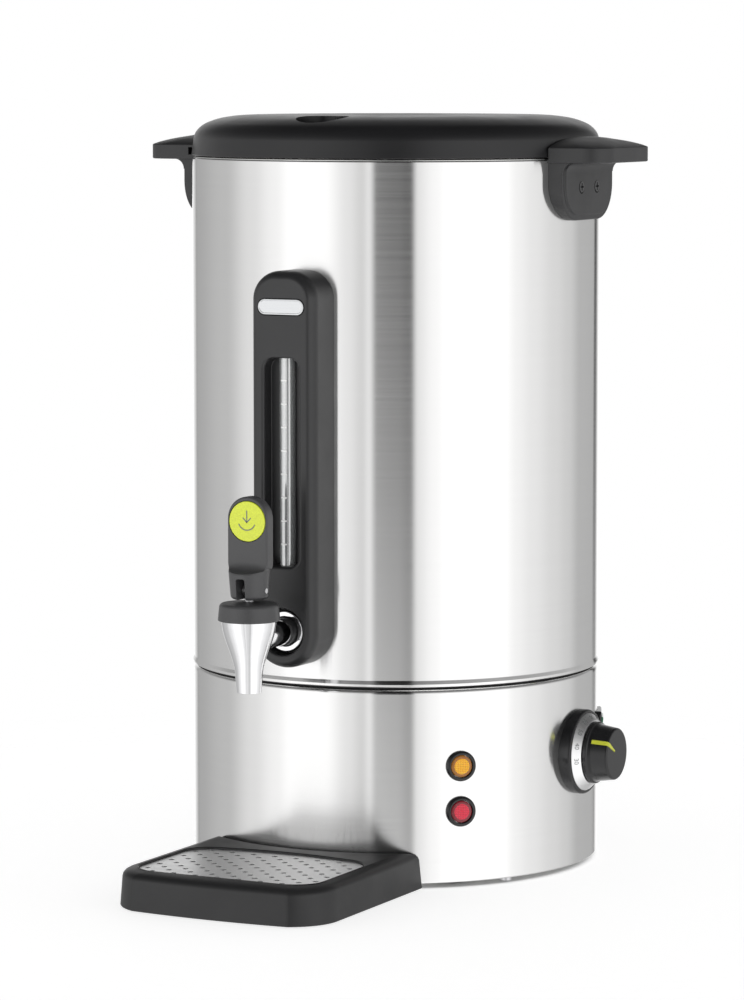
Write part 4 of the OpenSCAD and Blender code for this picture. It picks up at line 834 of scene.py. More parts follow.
@dataclass
class Shells(Assembly):
    """The two outer shells with the seal between them, and the tank inside."""

    sheet: float = 1.0 * MM
    shoulder: float = 3.5 * MM
    bead: float = 0.8 * MM
    bead_height: float = 2.4 * MM
    roll: float = 0.7 * MM
    lip: float = 9.0 * MM
    tank_corner: float = 8.0 * MM
    switch_width: float = 20 * MM
    switch_height: float = 27 * MM

    def base(self) -> Piece:
        """Lower shell with its rounded shoulder and the switch's hole."""
        low, high = Span.of("base_shell").low.z, Span.of("base_shell").high.z
        r, t, inner = DRUM_RADIUS, self.sheet, DRUM_RADIUS - self.lip
        profile = soften([
            (inner, low, 0.3 * MM), (r, low, 0.9 * MM), (r, high, self.shoulder), (inner, high, 0.3 * MM),
            (inner, high - t, 0.3 * MM), (r - t, high - t, self.shoulder - t), (r - t, low + t, 0.3 * MM),
            (inner, low + t, 0.3 * MM),
        ], True, 8)
        shell = lathe("base_wall", profile, segments=DRUM_SEGMENTS)
        switch = Span.of("switch_body")
        hole = tray_of_rings(
            "switch_hole", facing(Rocker.azimuth, switch.centre.z, DRUM_RADIUS),
            lambda _: box_outline(self.switch_width, self.switch_height, MM),
            [(0, -14 * MM), (0, 9 * MM)],
        )
        carve(shell, hole)
        return dress(shell, STEEL, replaces=["base_shell"])

    def drum(self) -> Piece:
        """Upper shell with a bead at its foot and a rolled rim."""
        low, high = Span.of("outer_shell").low.z, Span.of("outer_shell").high.z
        r, t, inner = DRUM_RADIUS, self.sheet, DRUM_RADIUS - self.lip
        foot = low + self.bead_height
        profile = soften([
            (inner, low, 0.2 * MM), (r + self.bead - 0.2 * MM, low + 0.2 * MM, 0.5 * MM),
            (r + self.bead, foot - 0.6 * MM, 0.6 * MM), (r, foot + 1.6 * MM, 1.2 * MM),
            (r, high, self.roll), (inner, high, 0.3 * MM), (inner, high - t, 0.3 * MM),
            (r - t, high - t, 0.8 * MM), (r - t, low + t, 0.5 * MM), (inner, low + t, 0.2 * MM),
        ], True, 8)
        return dress(lathe("drum_wall", profile, segments=DRUM_SEGMENTS), STEEL, replaces=["outer_shell"])

    def seam(self) -> Piece:
        """Black seal in the seam."""
        box = Span.of("seam_seal")
        r, inner = box.high.x, DRUM_RADIUS - self.lip + 1 * MM
        profile = [(inner, box.low.z), (r, box.low.z), (r, box.high.z), (inner, box.high.z)]
        return dress(lathe("seam_line", profile, segments=180), RUBBER, replaces=["seam_seal"])

    def tank(self) -> Piece:
        """Drawn tank whose flange lies on the outer shell."""
        box = Span.of("inner_tank")
        rim, top, low = box.high.x, box.high.z, box.low.z
        t, r, corner = self.sheet, DRUM_RADIUS - 10 * MM, self.tank_corner
        under = top - 0.9 * MM
        profile = soften([
            (0, low, 0), (r, low, corner), (r, under, 0.6 * MM), (rim, under, 0.3 * MM),
            (rim, top, 0.4 * MM), (r - t, top, 0.8 * MM), (r - t, low + t, corner - t), (0, low + t, 0),
        ], False, 8)
        tank = lathe("tank_wall", profile, segments=240)
        return dress(tank, TANK_STEEL, replaces=["inner_tank"])

    def build(self) -> list[Piece]:
        """Build both shells, the seal and the tank."""
        return [self.base(), self.drum(), self.seam(), self.tank()]


@dataclass
class Lid(Assembly):
    """Black lid with its shoulder of tangent bends, grip dish and steam recess."""

    wall: float = 3.0 * MM
    bends: tuple[Point, ...] = ((10, 4), (16, 40), (45, 66), (100, 80))
    last_angle: float = 89.5
    grip_radius: float = 40 * MM
    grip_height: float = 0.4 * MM
    dish: float = 0.8 * MM
    steam_radius: float = 15.5 * MM
    steam_place: float = 96 * MM
    steam_depth: float = 6 * MM
    steam_hole: float = 2.25 * MM
    steam_holes: tuple[Point, ...] = ((-8, -4), (-8, 4), (0, -4), (0, 4), (8, -4), (8, 4))
    cup_wall: float = 1.8 * MM
    pan_sheet: float = 1.2 * MM
    pan_shift: float = 8 * MM
    pan_hole: float = 2.5 * MM
    boss_ring: float = 82 * MM
    boss_radius: float = 4.5 * MM
    lug_height: float = 3.6 * MM
    lug_angles: Point = (2.0, 12.0)
    box: Span = box_of("lid_shell")

    @property
    def rim(self) -> float:
        """Radius of the lid's rim."""
        return DRUM_RADIUS + 0.3 * MM

    def shoulder(self, inset: float) -> list[Point]:
        """Give the bends of the shoulder, drawn in by a distance."""
        first_radius, first_angle = self.bends[0]
        first = math.radians(first_angle)
        centre = Vector((self.rim - 1.2 * MM - first_radius * MM * math.cos(first), 0))
        points: list[Point] = []
        for i, (radius, angle) in enumerate(self.bends):
            a = math.radians(angle)
            if i:
                change = (self.bends[i - 1][0] - radius) * MM
                centre = centre + change * Vector((math.cos(a), math.sin(a)))
            end = self.bends[i + 1][1] if i + 1 < len(self.bends) else self.last_angle
            points += arc((centre.x, centre.y), radius * MM - inset, angle, end, 10)
        top = centre.y + self.bends[-1][0] * MM * math.sin(math.radians(self.last_angle))
        rise = self.box.high.z - self.grip_height - top
        return [(x, y + rise) for x, y in points]

    def relief(self, radius: float) -> float:
        """Give the height of the top above its flat: a low ring round a dish."""
        ring = self.grip_height * max(0.0, 1 - ((radius - self.grip_radius) / (16 * MM)) ** 2)
        dip = self.dish * (1 - (radius / self.grip_radius) ** 2) if radius < self.grip_radius else 0.0
        return ring - dip

    def outline(self, inset: float) -> list[Point]:
        """Give the half outline from the rim to the middle, drawn in by a distance."""
        flat = self.box.high.z - self.grip_height - inset
        top = [(r * MM, flat + (self.relief(r * MM) if inset == 0 else 0.0)) for r in range(76, 1, -2)]
        return self.shoulder(inset) + top + [(0.0, flat + (self.relief(0.0) if inset == 0 else 0.0))]

    def shell(self) -> Piece:
        """Dome with its recess, bosses and two lugs."""
        low, edge = self.box.low.z, self.rim
        outer, inner = self.outline(0), self.outline(self.wall)
        rim = [(edge - self.wall + 0.4 * MM, low), (edge - 0.5 * MM, low), (edge, low + 0.5 * MM)]
        dome = lathe("lid_top", inner[::-1] + rim + outer, segments=256)
        recess = Matrix.Translation((0, -self.steam_place, 0))
        floor = self.box.high.z - 1.6 * MM - self.steam_depth
        base = [(0, low + 4 * MM), (edge - 4 * MM, low + 4 * MM)]
        solid = lathe("lid_solid", base + outer, segments=256)
        radius = self.steam_radius + self.cup_wall
        cup = cylinder("lid_cup", radius, floor - 2 * MM, self.box.high.z + MM, recess)
        carve(cup, solid, mode="INTERSECT")
        carve(dome, cup, mode="UNION")
        above = self.box.high.z + 2 * MM
        r = self.steam_radius
        profile = soften([(0, floor, 0), (r, floor, 1.2 * MM), (r, above, 0), (0, above, 0)])
        carve(dome, lathe("lid_well", profile, recess))
        for x, y in self.steam_holes:
            spot = Matrix.Translation((x * MM, y * MM - self.steam_place, 0))
            carve(dome, cylinder("hole", self.steam_hole, low, floor + MM, spot, 24))
        lugs = [self.lug(start) for start in (0.0, 180.0)]
        bosses = [self.boss(45.0 + 90.0 * i) for i in range(4)]
        whole = join("lid", [dome, *lugs, *bosses])
        return dress(whole, LID_PLASTIC, "lid", replaces=["lid_shell"])

    def lug(self, turn: float) -> Piece:
        """Lug under the rim that locks into a handle's slot."""
        low = self.box.low.z + 0.3 * MM
        section = soften([
            (self.rim - 1.5 * MM, low, 0), (self.box.high.x + 0.1 * MM, low, 0.5 * MM),
            (self.box.high.x + 0.1 * MM, low + self.lug_height, 0.5 * MM),
            (self.rim - 1.5 * MM, low + self.lug_height, 0),
        ])
        start, end = self.lug_angles
        return sector("lug", section, turn + start, turn + end, 8)

    def boss(self, azimuth: float) -> Piece:
        """Boss under the dome that takes a liner screw."""
        a = math.radians(azimuth)
        place = Matrix.Translation((math.sin(a) * self.boss_ring, -math.cos(a) * self.boss_ring, 0))
        low = Span.of("lid_liner").low.z + 1.2 * MM
        top = self.box.high.z - self.wall - 0.2 * MM
        return cylinder("boss", self.boss_radius, low, top, place, 32)

    def liner(self) -> Piece:
        """Steel pan that closes the lid from below."""
        box = Span.of("lid_liner")
        low, high, rim = box.low.z, box.high.z, box.high.x
        t, r = self.pan_sheet, rim - 9.5 * MM
        profile = soften([
            (0, low, 0), (r, low, 1.6 * MM), (r, high - t, 0.6 * MM), (rim, high - t, 0.3 * MM),
            (rim, high, 0.3 * MM), (r - t, high, 1.2 * MM), (r - t, low + t, 0.6 * MM), (0, low + t, 0),
        ])
        pan = lathe("lid_pan", profile, segments=180)
        for x, y in self.steam_holes:
            spot = Matrix.Translation((x * MM, y * MM - self.steam_place + self.pan_shift, 0))
            carve(pan, cylinder("hole", self.pan_hole, low - MM, low + 2 * t, spot, 24))
        return dress(pan, TANK_STEEL, "lid", replaces=["lid_liner"])

    def gasket(self) -> Piece:
        """Silicone ring between the tank and the lid."""
        box = Span.of("lid_seal")
        top, step, low, rim = box.high.z, box.high.z - 1.4 * MM, box.low.z, box.high.x
        hole = rim - 6 * MM
        profile = soften([
            (hole, low, 0.5 * MM), (hole + 1.7 * MM, low, 0.5 * MM), (hole + 1.7 * MM, step, 0.2 * MM),
            (rim, step, 0.4 * MM), (rim, top, 0.4 * MM), (hole, top, 0.6 * MM),
        ], True)
        gasket = lathe("lid_gasket", profile, segments=180)
        return dress(gasket, SILICONE, "lid_gasket", replaces=["lid_seal"])

    def build(self) -> list[Piece]:
        """Build the lid with its pan and gasket."""
        return [self.shell(), self.liner(), self.gasket()]


@dataclass
class Handle(Assembly):
    """Wing handle on a shield bracket, on the right or the left side."""

    side: Side
    width: float = 76 * MM
    reach: float = 30.5 * MM
    edge: float = 9 * MM
    crown: float = 6 * MM
    crown_rings: int = 20
    corner: float = 15 * MM
    lift: float = 1.2 * MM
    foot: float = 1.4 * MM
    bracket_reach: float = 3.4 * MM
    bracket_radius: float = 21 * MM
    rim_inset: float = 3.2 * MM
    field_rise: float = 1.0 * MM
    blend: float = 6 * MM
    screw_pitch: float = 22 * MM
    screw_drop: float = 13.5 * MM
    screw_recess: float = 3.7 * MM
    slot_radius: float = 128.2 * MM
    slot_height: float = 4.2 * MM
    slot_angles: Point = (-2.0, 38.0)

    @property
    def node(self) -> str:
        """Name of the handle's node."""
        return "handle_right" if self.side is Side.RIGHT else "handle_left"

    @property
    def box(self) -> Span:
        """Box of the handle's node."""
        return Span.of(self.node)

    @property
    def height(self) -> float:
        """Height of the bracket, up to the wing."""
        return self.box.size.z - self.edge - self.crown

    @property
    def floor(self) -> float:
        """Level of the wing's underside."""
        return self.box.high.z - self.edge - self.crown

    def plan(self, share: float) -> list[Point]:
        """Give the wing's plan, scaled by a share towards its inner end."""
        tip = DRUM_RADIUS - 5 * MM + (self.reach + 5 * MM) * share
        half = self.width / 2 * share
        root = DRUM_RADIUS - 12 * MM
        radius = min(self.corner + 22 * MM * (1 - share), half * 0.96, (tip - root) * 0.9)
        corners = [(-half, root, 0), (half, root, 0), (half, tip, radius), (-half, tip, radius)]
        return soften(corners, True, 12)

    def shield(self, inset: float) -> list[Point]:
        """Give the bracket's outline, drawn in by a distance; y is counted from its foot."""
        half = self.width / 2 - 1.5 * MM - inset
        radius = max(self.bracket_radius - inset, MM)
        low = self.foot + inset
        top = self.height + 3 * MM
        corners = [(-half, low, radius), (half, low, radius), (half, top, 0), (-half, top, 0)]
        return soften(corners, True, 14)

    def wing(self) -> Piece:
        """Crowned wing."""
        floor = self.floor + self.lift
        skin = Skin(Matrix.Rotation(math.radians(self.side.value - 180), 4, "Z"))
        levels = [
            (0.985, 0.0), (0.996, 0.2 * MM), (1.0, 0.7 * MM), (1.0, self.edge - 0.8 * MM),
            (0.998, self.edge - 0.35 * MM), (0.992, self.edge - 0.02 * MM),
        ]
        rings = [skin.flat_ring(self.plan(share), floor + level) for share, level in levels]
        for i in range(1, self.crown_rings + 1):
            share = 0.98 - 0.93 * i / self.crown_rings
            level = floor + self.edge + self.crown * (1 - share ** 3)
            rings.append(skin.flat_ring(self.plan(share), level))
        skin.solid(rings)
        return skin.build("wing")

    def bracket(self, place: Matrix) -> list[Piece]:
        """Shield of the bracket and its blends into the wing's underside."""
        face = DRUM_RADIUS + self.bracket_reach
        steps = [(0.0, DRUM_RADIUS - 12 * MM), *round_edge(0, face, MM, 5)]
        steps.append((self.rim_inset - 0.5 * MM, face))
        steps += round_edge(self.rim_inset, face + self.field_rise, 0.6 * MM, 4)
        shield = tray_of_rings("shield", place, self.shield, steps)
        top, half = self.height + self.lift, self.width / 2 - 1.5 * MM
        rim_fillet = self.fillet(place, top, face, half - 0.02 * MM)
        field_fillet = self.fillet(place, top, face + self.field_rise, half - self.rim_inset - 0.3 * MM)
        return [shield, rim_fillet, field_fillet]

    def fillet(self, place: Matrix, height: float, face: float, half: float) -> Piece:
        """Make a concave blend between a face of the bracket and the wing's underside.

        Args:
            place: Place of the bracket.
            height: Level of the wing's underside.
            face: Distance of the bracket's face from the drum's axis.
            half: Half the width of the blend.

        Returns:
            The blend, to be joined to the handle.
        """
        skin = Skin(place)
        bend = arc((face + self.blend, height - self.blend), self.blend, 180, 90, 10)
        inner, above = face - 3 * MM, height + 2 * MM
        section = bend + [(bend[-1][0], above), (inner, above), (inner, bend[0][1])]
        skin.solid([skin.ring((y, z, x) for x, z in section) for y in (-half, half)])
        return skin.build("fillet")

    def room(self) -> list[Piece]:
        """Shapes of the drum, the lid and the lug's way, which cut the handle."""
        seat = Span.of("lid_shell").low.z
        lid_room = DRUM_RADIUS + 1.0 * MM
        lid = cylinder("lid_room", lid_room, seat - 1.2 * MM, seat + 35 * MM, segments=DRUM_SEGMENTS)
        low, high, inner = seat - 0.3 * MM, seat + self.slot_height, DRUM_RADIUS - 2 * MM
        slot = [(inner, low), (self.slot_radius, low), (self.slot_radius, high), (inner, high)]
        first = 0.0 if self.side is Side.RIGHT else 180.0
        start, end = self.slot_angles
        drum = drum_plug(0, seat - MM, 0.1 * MM)
        return [drum, lid, sector("slot", slot, first + start, first + end)]

    def screw_heads(self, place: Matrix) -> list[Piece]:
        """Cylinders that sink the heads of both screws."""
        level = self.floor - self.screw_drop - self.box.low.z
        deep, half = DRUM_RADIUS + 2.2 * MM, self.screw_pitch / 2
        spots = [place @ Matrix.Translation((y, level, 0)) for y in (-half, half)]
        return [cylinder("head", self.screw_recess, deep, deep + 8 * MM, spot, 40) for spot in spots]

    def build(self) -> list[Piece]:
        """Build the handle and cut it to the drum and the lid."""
        place = facing(self.side.value, self.box.low.z)
        body = self.wing()
        carve(body, *self.bracket(place), mode="UNION")
        carve(body, *self.room(), *self.screw_heads(place))
        body.name = f"{self.node}_wing"
        return [dress(body, BLACK_PLASTIC, replaces=[self.node])]


@dataclass
class FrontPanel(Assembly):
    """Moulded panel with its window, tap well and bare badge."""

    width: float = 41.2 * MM
    edge: float = 5.0 * MM
    edge_depth: float = 8.0 * MM
    top_radius: float = 16.5 * MM
    window_width: float = 22.5 * MM
    window_height: float = 120.5 * MM
    window_rise: float = 59.5 * MM
    window_radius: float = 6.5 * MM
    window_depth: float = 9.5 * MM
    window_lip: float = 2.0 * MM
    well_radius: float = 13.8 * MM
    well_depth: float = 12 * MM
    badge_width: float = 29.6 * MM
    badge_height: float = 9.0 * MM
    badge_gap: float = 0.4 * MM
    badge_lift: float = 0.6 * MM
    badge_lip: float = 0.3 * MM
    box: Span = box_of("front_panel")
    badge_box: Span = box_of("panel_badge")

    def outline(self, inset: float) -> list[Point]:
        """Give the panel's outline, drawn in by a distance; y is counted from its foot."""
        half, top = self.width / 2 - inset, self.box.size.z - inset
        foot = half - 0.01 * MM
        crown = self.top_radius - inset
        corners = [(-half, inset, foot), (half, inset, foot), (half, top, crown), (-half, top, crown)]
        return soften(corners, True, 24)

    def window(self, grow: float) -> list[Point]:
        """Give the window's outline, grown by a distance."""
        width, height = self.window_width + 2 * grow, self.window_height + 2 * grow
        middle = self.window_rise + self.window_height / 2
        return [(x, y + middle) for x, y in box_outline(width, height, self.window_radius + grow)]

    def well(self, grow: float) -> list[Point]:
        """Give the tap well's outline, grown by a distance."""
        level = self.box.size.x / 2
        return [(x, y + level) for x, y in circle_outline(self.well_radius + grow)]

    def badge_room(self, grow: float) -> list[Point]:
        """Give the badge recess's outline, grown by a distance."""
        more = 2 * (self.badge_gap + grow)
        width, height = self.badge_width + more, self.badge_height + more
        level = self.badge_box.centre.z + self.badge_lift - self.box.low.z
        return [(x, y + level) for x, y in box_outline(width, height, height / NEARLY_TWO, 12)]

    @staticmethod
    def recess(skin: Skin, outline: Outline, lip: float, depth: float, front: float) -> list:
        """Add the lip and wall of a recess.

        Args:
            skin: The panel's mesh.
            outline: Gives the recess's outline, grown by a distance.
            lip: Radius of the lip.
            depth: Depth of the recess.
            front: Level of the panel's face.

        Returns:
            The recess's first ring, in the panel's face, and its last ring, at the floor.
        """
        bend = arc((lip, -lip), lip, 90, 180, 5)
        rings = [skin.flat_ring(outline(x), front + y) for x, y in bend]
        rings.append(skin.flat_ring(outline(0), front - depth + 0.4 * MM))
        rings.append(skin.flat_ring(outline(-0.4 * MM), front - depth))
        skin.stack(rings)
        return [rings[0], rings[-1]]

    def panel(self) -> Piece:
        """Panel with its three recesses, cut to the drum and the sight glass."""
        front = -self.box.low.y
        skin = Skin(facing(Side.FRONT.value, self.box.low.z))
        steps = [(0.0, DRUM_RADIUS - 6 * MM)]
        for turn in (math.radians(7.5 * i) for i in range(13)):
            inset, sunk = self.edge * (1 - math.cos(turn)), self.edge_depth * (1 - math.sin(turn))
            steps.append((inset, front - sunk))
        rings = [skin.flat_ring(self.outline(inset), level) for inset, level in steps]
        skin.stack(rings)
        skin.cap(rings[0])
        holes = [
            self.recess(skin, self.window, self.window_lip, self.window_depth, front),
            self.recess(skin, self.well, 1.0 * MM, self.well_depth, front),
            self.recess(skin, self.badge_room, self.badge_lip, 1.0 * MM, front),
        ]
        skin.fill(rings[-1], *[first for first, _ in holes])
        for _, last in holes:
            skin.cap(last)
        panel = skin.build("panel")
        drum = drum_plug(self.box.low.z - 20 * MM, self.box.high.z + 20 * MM, 0.1 * MM)
        glass = Span.of("sight_glass")
        tube = Matrix.Translation((0, glass.centre.y, 0))
        slot = cylinder("slot", glass.size.x / 2 + 0.3 * MM, glass.low.z, glass.high.z, tube, 48)
        carve(panel, drum, slot)
        return dress(panel, PANEL_PLASTIC, replaces=["front_panel"])

    def badge(self) -> Piece:
        """Bare plate with a raised rim line."""
        back, front = -self.badge_box.high.y, -self.badge_box.low.y

        def outline(inset: float) -> list[Point]:
            """Give the plate's outline, drawn in by a distance."""
            radius = self.badge_height / 2 - inset - 0.01 * MM
            return box_outline(self.badge_width - 2 * inset, self.badge_height - 2 * inset, radius, 16)

        place = facing(Side.FRONT.value, self.badge_box.centre.z + self.badge_lift)
        steps = [
            (0.0, back), (0.0, front - 0.35 * MM), (0.1 * MM, front - 0.1 * MM), (0.35 * MM, front),
            (0.8 * MM, front), (1.0 * MM, front - 0.2 * MM), (1.3 * MM, front - 0.2 * MM),
        ]
        plate = tray_of_rings("badge_plate", place, outline, steps)
        return dress(plate, BADGE, replaces=["panel_badge"])

    def build(self) -> list[Piece]:
        """Build the panel and its badge."""
        return [self.panel(), self.badge()]


@dataclass
class SightGlass(Assembly):
    """Glass tube of the level gauge with printed marks."""

    wall: float = 1.4 * MM
    marks: int = 8
    first_mark: float = 203.7 * MM
    mark_pitch: float = 13.54 * MM
    mark_height: float = 0.75 * MM
    mark_angles: Point = (-26.0, 18.0)
    mark_steps: int = 8

    def build(self) -> list[Piece]:
        """Build the tube and its marks."""
        box = Span.of("sight_glass")
        r, low, high = box.size.x / 2, box.low.z, box.high.z
        place = Matrix.Translation((0, box.centre.y, 0))
        bore = r - self.wall
        profile = soften([
            (bore, low, 0.3 * MM), (r, low, 0.4 * MM), (r, high, 0.4 * MM), (bore, high, 0.3 * MM),
        ], True, 4)
        tube = lathe("glass_tube", profile, place, 64)
        dress(tube, GLASS, replaces=["sight_glass"])
        skin = Skin(place)
        first, last = self.mark_angles
        for i in range(self.marks):
            level = self.first_mark + self.mark_pitch * i
            rings = []
            for step in range(self.mark_steps + 1):
                a = math.radians(first + (last - first) * step / self.mark_steps)
                out = Vector((math.sin(a), -math.cos(a), 0))
                inner, outer = out * (r - 0.02 * MM), out * (r + 0.08 * MM)
                top = self.mark_height / 2
                rings.append(skin.ring([
                    (inner.x, inner.y, level - top), (outer.x, outer.y, level - top),
                    (outer.x, outer.y, level + top), (inner.x, inner.y, level + top),
                ]))
            skin.solid(rings)
        marks = dress(skin.build("gauge_marks"), WHITE_PRINT, slot="clear_glass")
        return [tube, marks]


@dataclass
class Tap(Assembly):
    """Chrome tap body with its nut, black collar and cap."""

    mouth: float = 7.3 * MM
    nozzle: float = 9.0 * MM
    top: float = 15.7 * MM
    neck: float = 13.6 * MM
    neck_height: float = 5.5 * MM
    outlet: float = 5.0 * MM
    nut_radius: float = 12.0 * MM
    cap_bore: float = 13.7 * MM
    stem_bore: float = 2.7 * MM
    shank_bore: float = 6.1 * MM
    chamber_radius: float = 9.5 * MM
    chamber_height: float = 7.4 * MM
    arm: float = 7.5 * MM
    body_box: Span = box_of("tap_body")
    cap_box: Span = box_of("tap_cap")

    @property
    def axis(self) -> Matrix:
        """Place of the tap's upright axis."""
        return Matrix.Translation((0, self.cap_box.centre.y, 0))

    def funnel(self) -> Piece:
        """Flared nozzle with its open mouth and the arm behind it."""
        low = self.body_box.low.z
        top = self.body_box.high.z - self.neck_height
        start = low + self.nozzle
        lower = self.mouth + 0.6 * MM
        flare = []
        for i in range(25):
            t = i / 24
            ease = t * t * (3 - 2 * t)
            flare.append((lower + (self.top - lower) * ease, start + (top - start) * t))
        mouth = [
            (0, low + 14 * MM), (self.outlet, low + 14 * MM), (self.outlet, low + 3 * MM),
            (self.outlet + 1.2 * MM, low + 0.3 * MM), (self.mouth - 0.5 * MM, low),
            (self.mouth - 0.1 * MM, low + 0.15 * MM), (self.mouth, low + 0.5 * MM),
        ]
        neck = [
            (self.top - 0.4 * MM, top + 0.2 * MM), (self.neck, top + 0.2 * MM), (self.neck, top + 5 * MM),
            (self.chamber_radius, top + 5 * MM), (self.chamber_radius, low + 24 * MM), (0, low + 24 * MM),
        ]
        body = lathe("funnel", mouth + flare + neck, self.axis)
        arm_level = Span.of("tap_nut").centre.z
        sleeve = Span.of("tap_sleeve")
        root, tip = -sleeve.low.y, -self.cap_box.centre.y - 9.7 * MM
        arm = lathe("arm", soften([
            (0, root, 0), (self.arm, root, 0.5 * MM), (self.arm, tip, 0), (0, tip, 0),
        ]), facing(0, arm_level), 64)
        carve(body, arm, mode="UNION")
        body.name = "tap_funnel"
        return dress(body, CHROME, replaces=["tap_body"])

    def cap(self) -> Piece:
        """Black cap, a little wider below, over the spring's chamber."""
        low, high, r = self.cap_box.low.z, self.cap_box.high.z, self.cap_box.size.x / 2
        edge, chamber = high - 1.0 * MM, low + self.chamber_height
        profile = soften([
            (self.cap_bore, low, 0), (r, low, 0.6 * MM), (r - 1.0 * MM, edge, 2.2 * MM),
            (8 * MM, high - 0.4 * MM, 6 * MM), (self.stem_bore, high, 0.3 * MM),
            (self.stem_bore, chamber, 0), (self.chamber_radius, chamber, 0),
            (self.chamber_radius, low + 6 * MM, 0), (self.cap_bore, low + 6 * MM, 0),
        ], True, 8)
        cap = lathe("tap_top", profile, self.axis)
        return dress(cap, LEVER_PLASTIC, slot="gloss_black", replaces=["tap_cap"])

    def nut(self) -> Piece:
        """Chrome nut in the panel's well, with a sunk face."""
        box = Span.of("tap_nut")
        back, front, bore = -box.high.y, -box.low.y, self.shank_bore
        profile = soften([
            (bore, back, 0), (self.nut_radius, back, 0.3 * MM), (self.nut_radius, front, 1.0 * MM),
            (8.8 * MM, front, 0.5 * MM), (8.2 * MM, front - 1.2 * MM, 0.4 * MM),
            (bore, front - 1.2 * MM, 0),
        ], True, 8)
        nut = lathe("tap_nut_ring", profile, facing(0, box.centre.z))
        return dress(nut, CHROME, replaces=["tap_nut"])

    def collar(self) -> Piece:
        """Black collar between the nut and the arm."""
        box = Span.of("tap_sleeve")
        back, front, bore, r = -box.high.y - 1.2 * MM, -box.low.y, self.shank_bore, box.size.x / 2
        corners = [(bore, back, 0), (r, back, 0.2 * MM), (r, front, 0.9 * MM), (bore, front, 0)]
        profile = soften(corners, True)
        collar = lathe("tap_collar", profile, facing(0, box.centre.z), 64)
        return dress(collar, BLACK_PLASTIC, replaces=["tap_sleeve"])

    def build(self) -> list[Piece]:
        """Build the tap's fixed pieces."""
        return [self.funnel(), self.cap(), self.nut(), self.collar()]


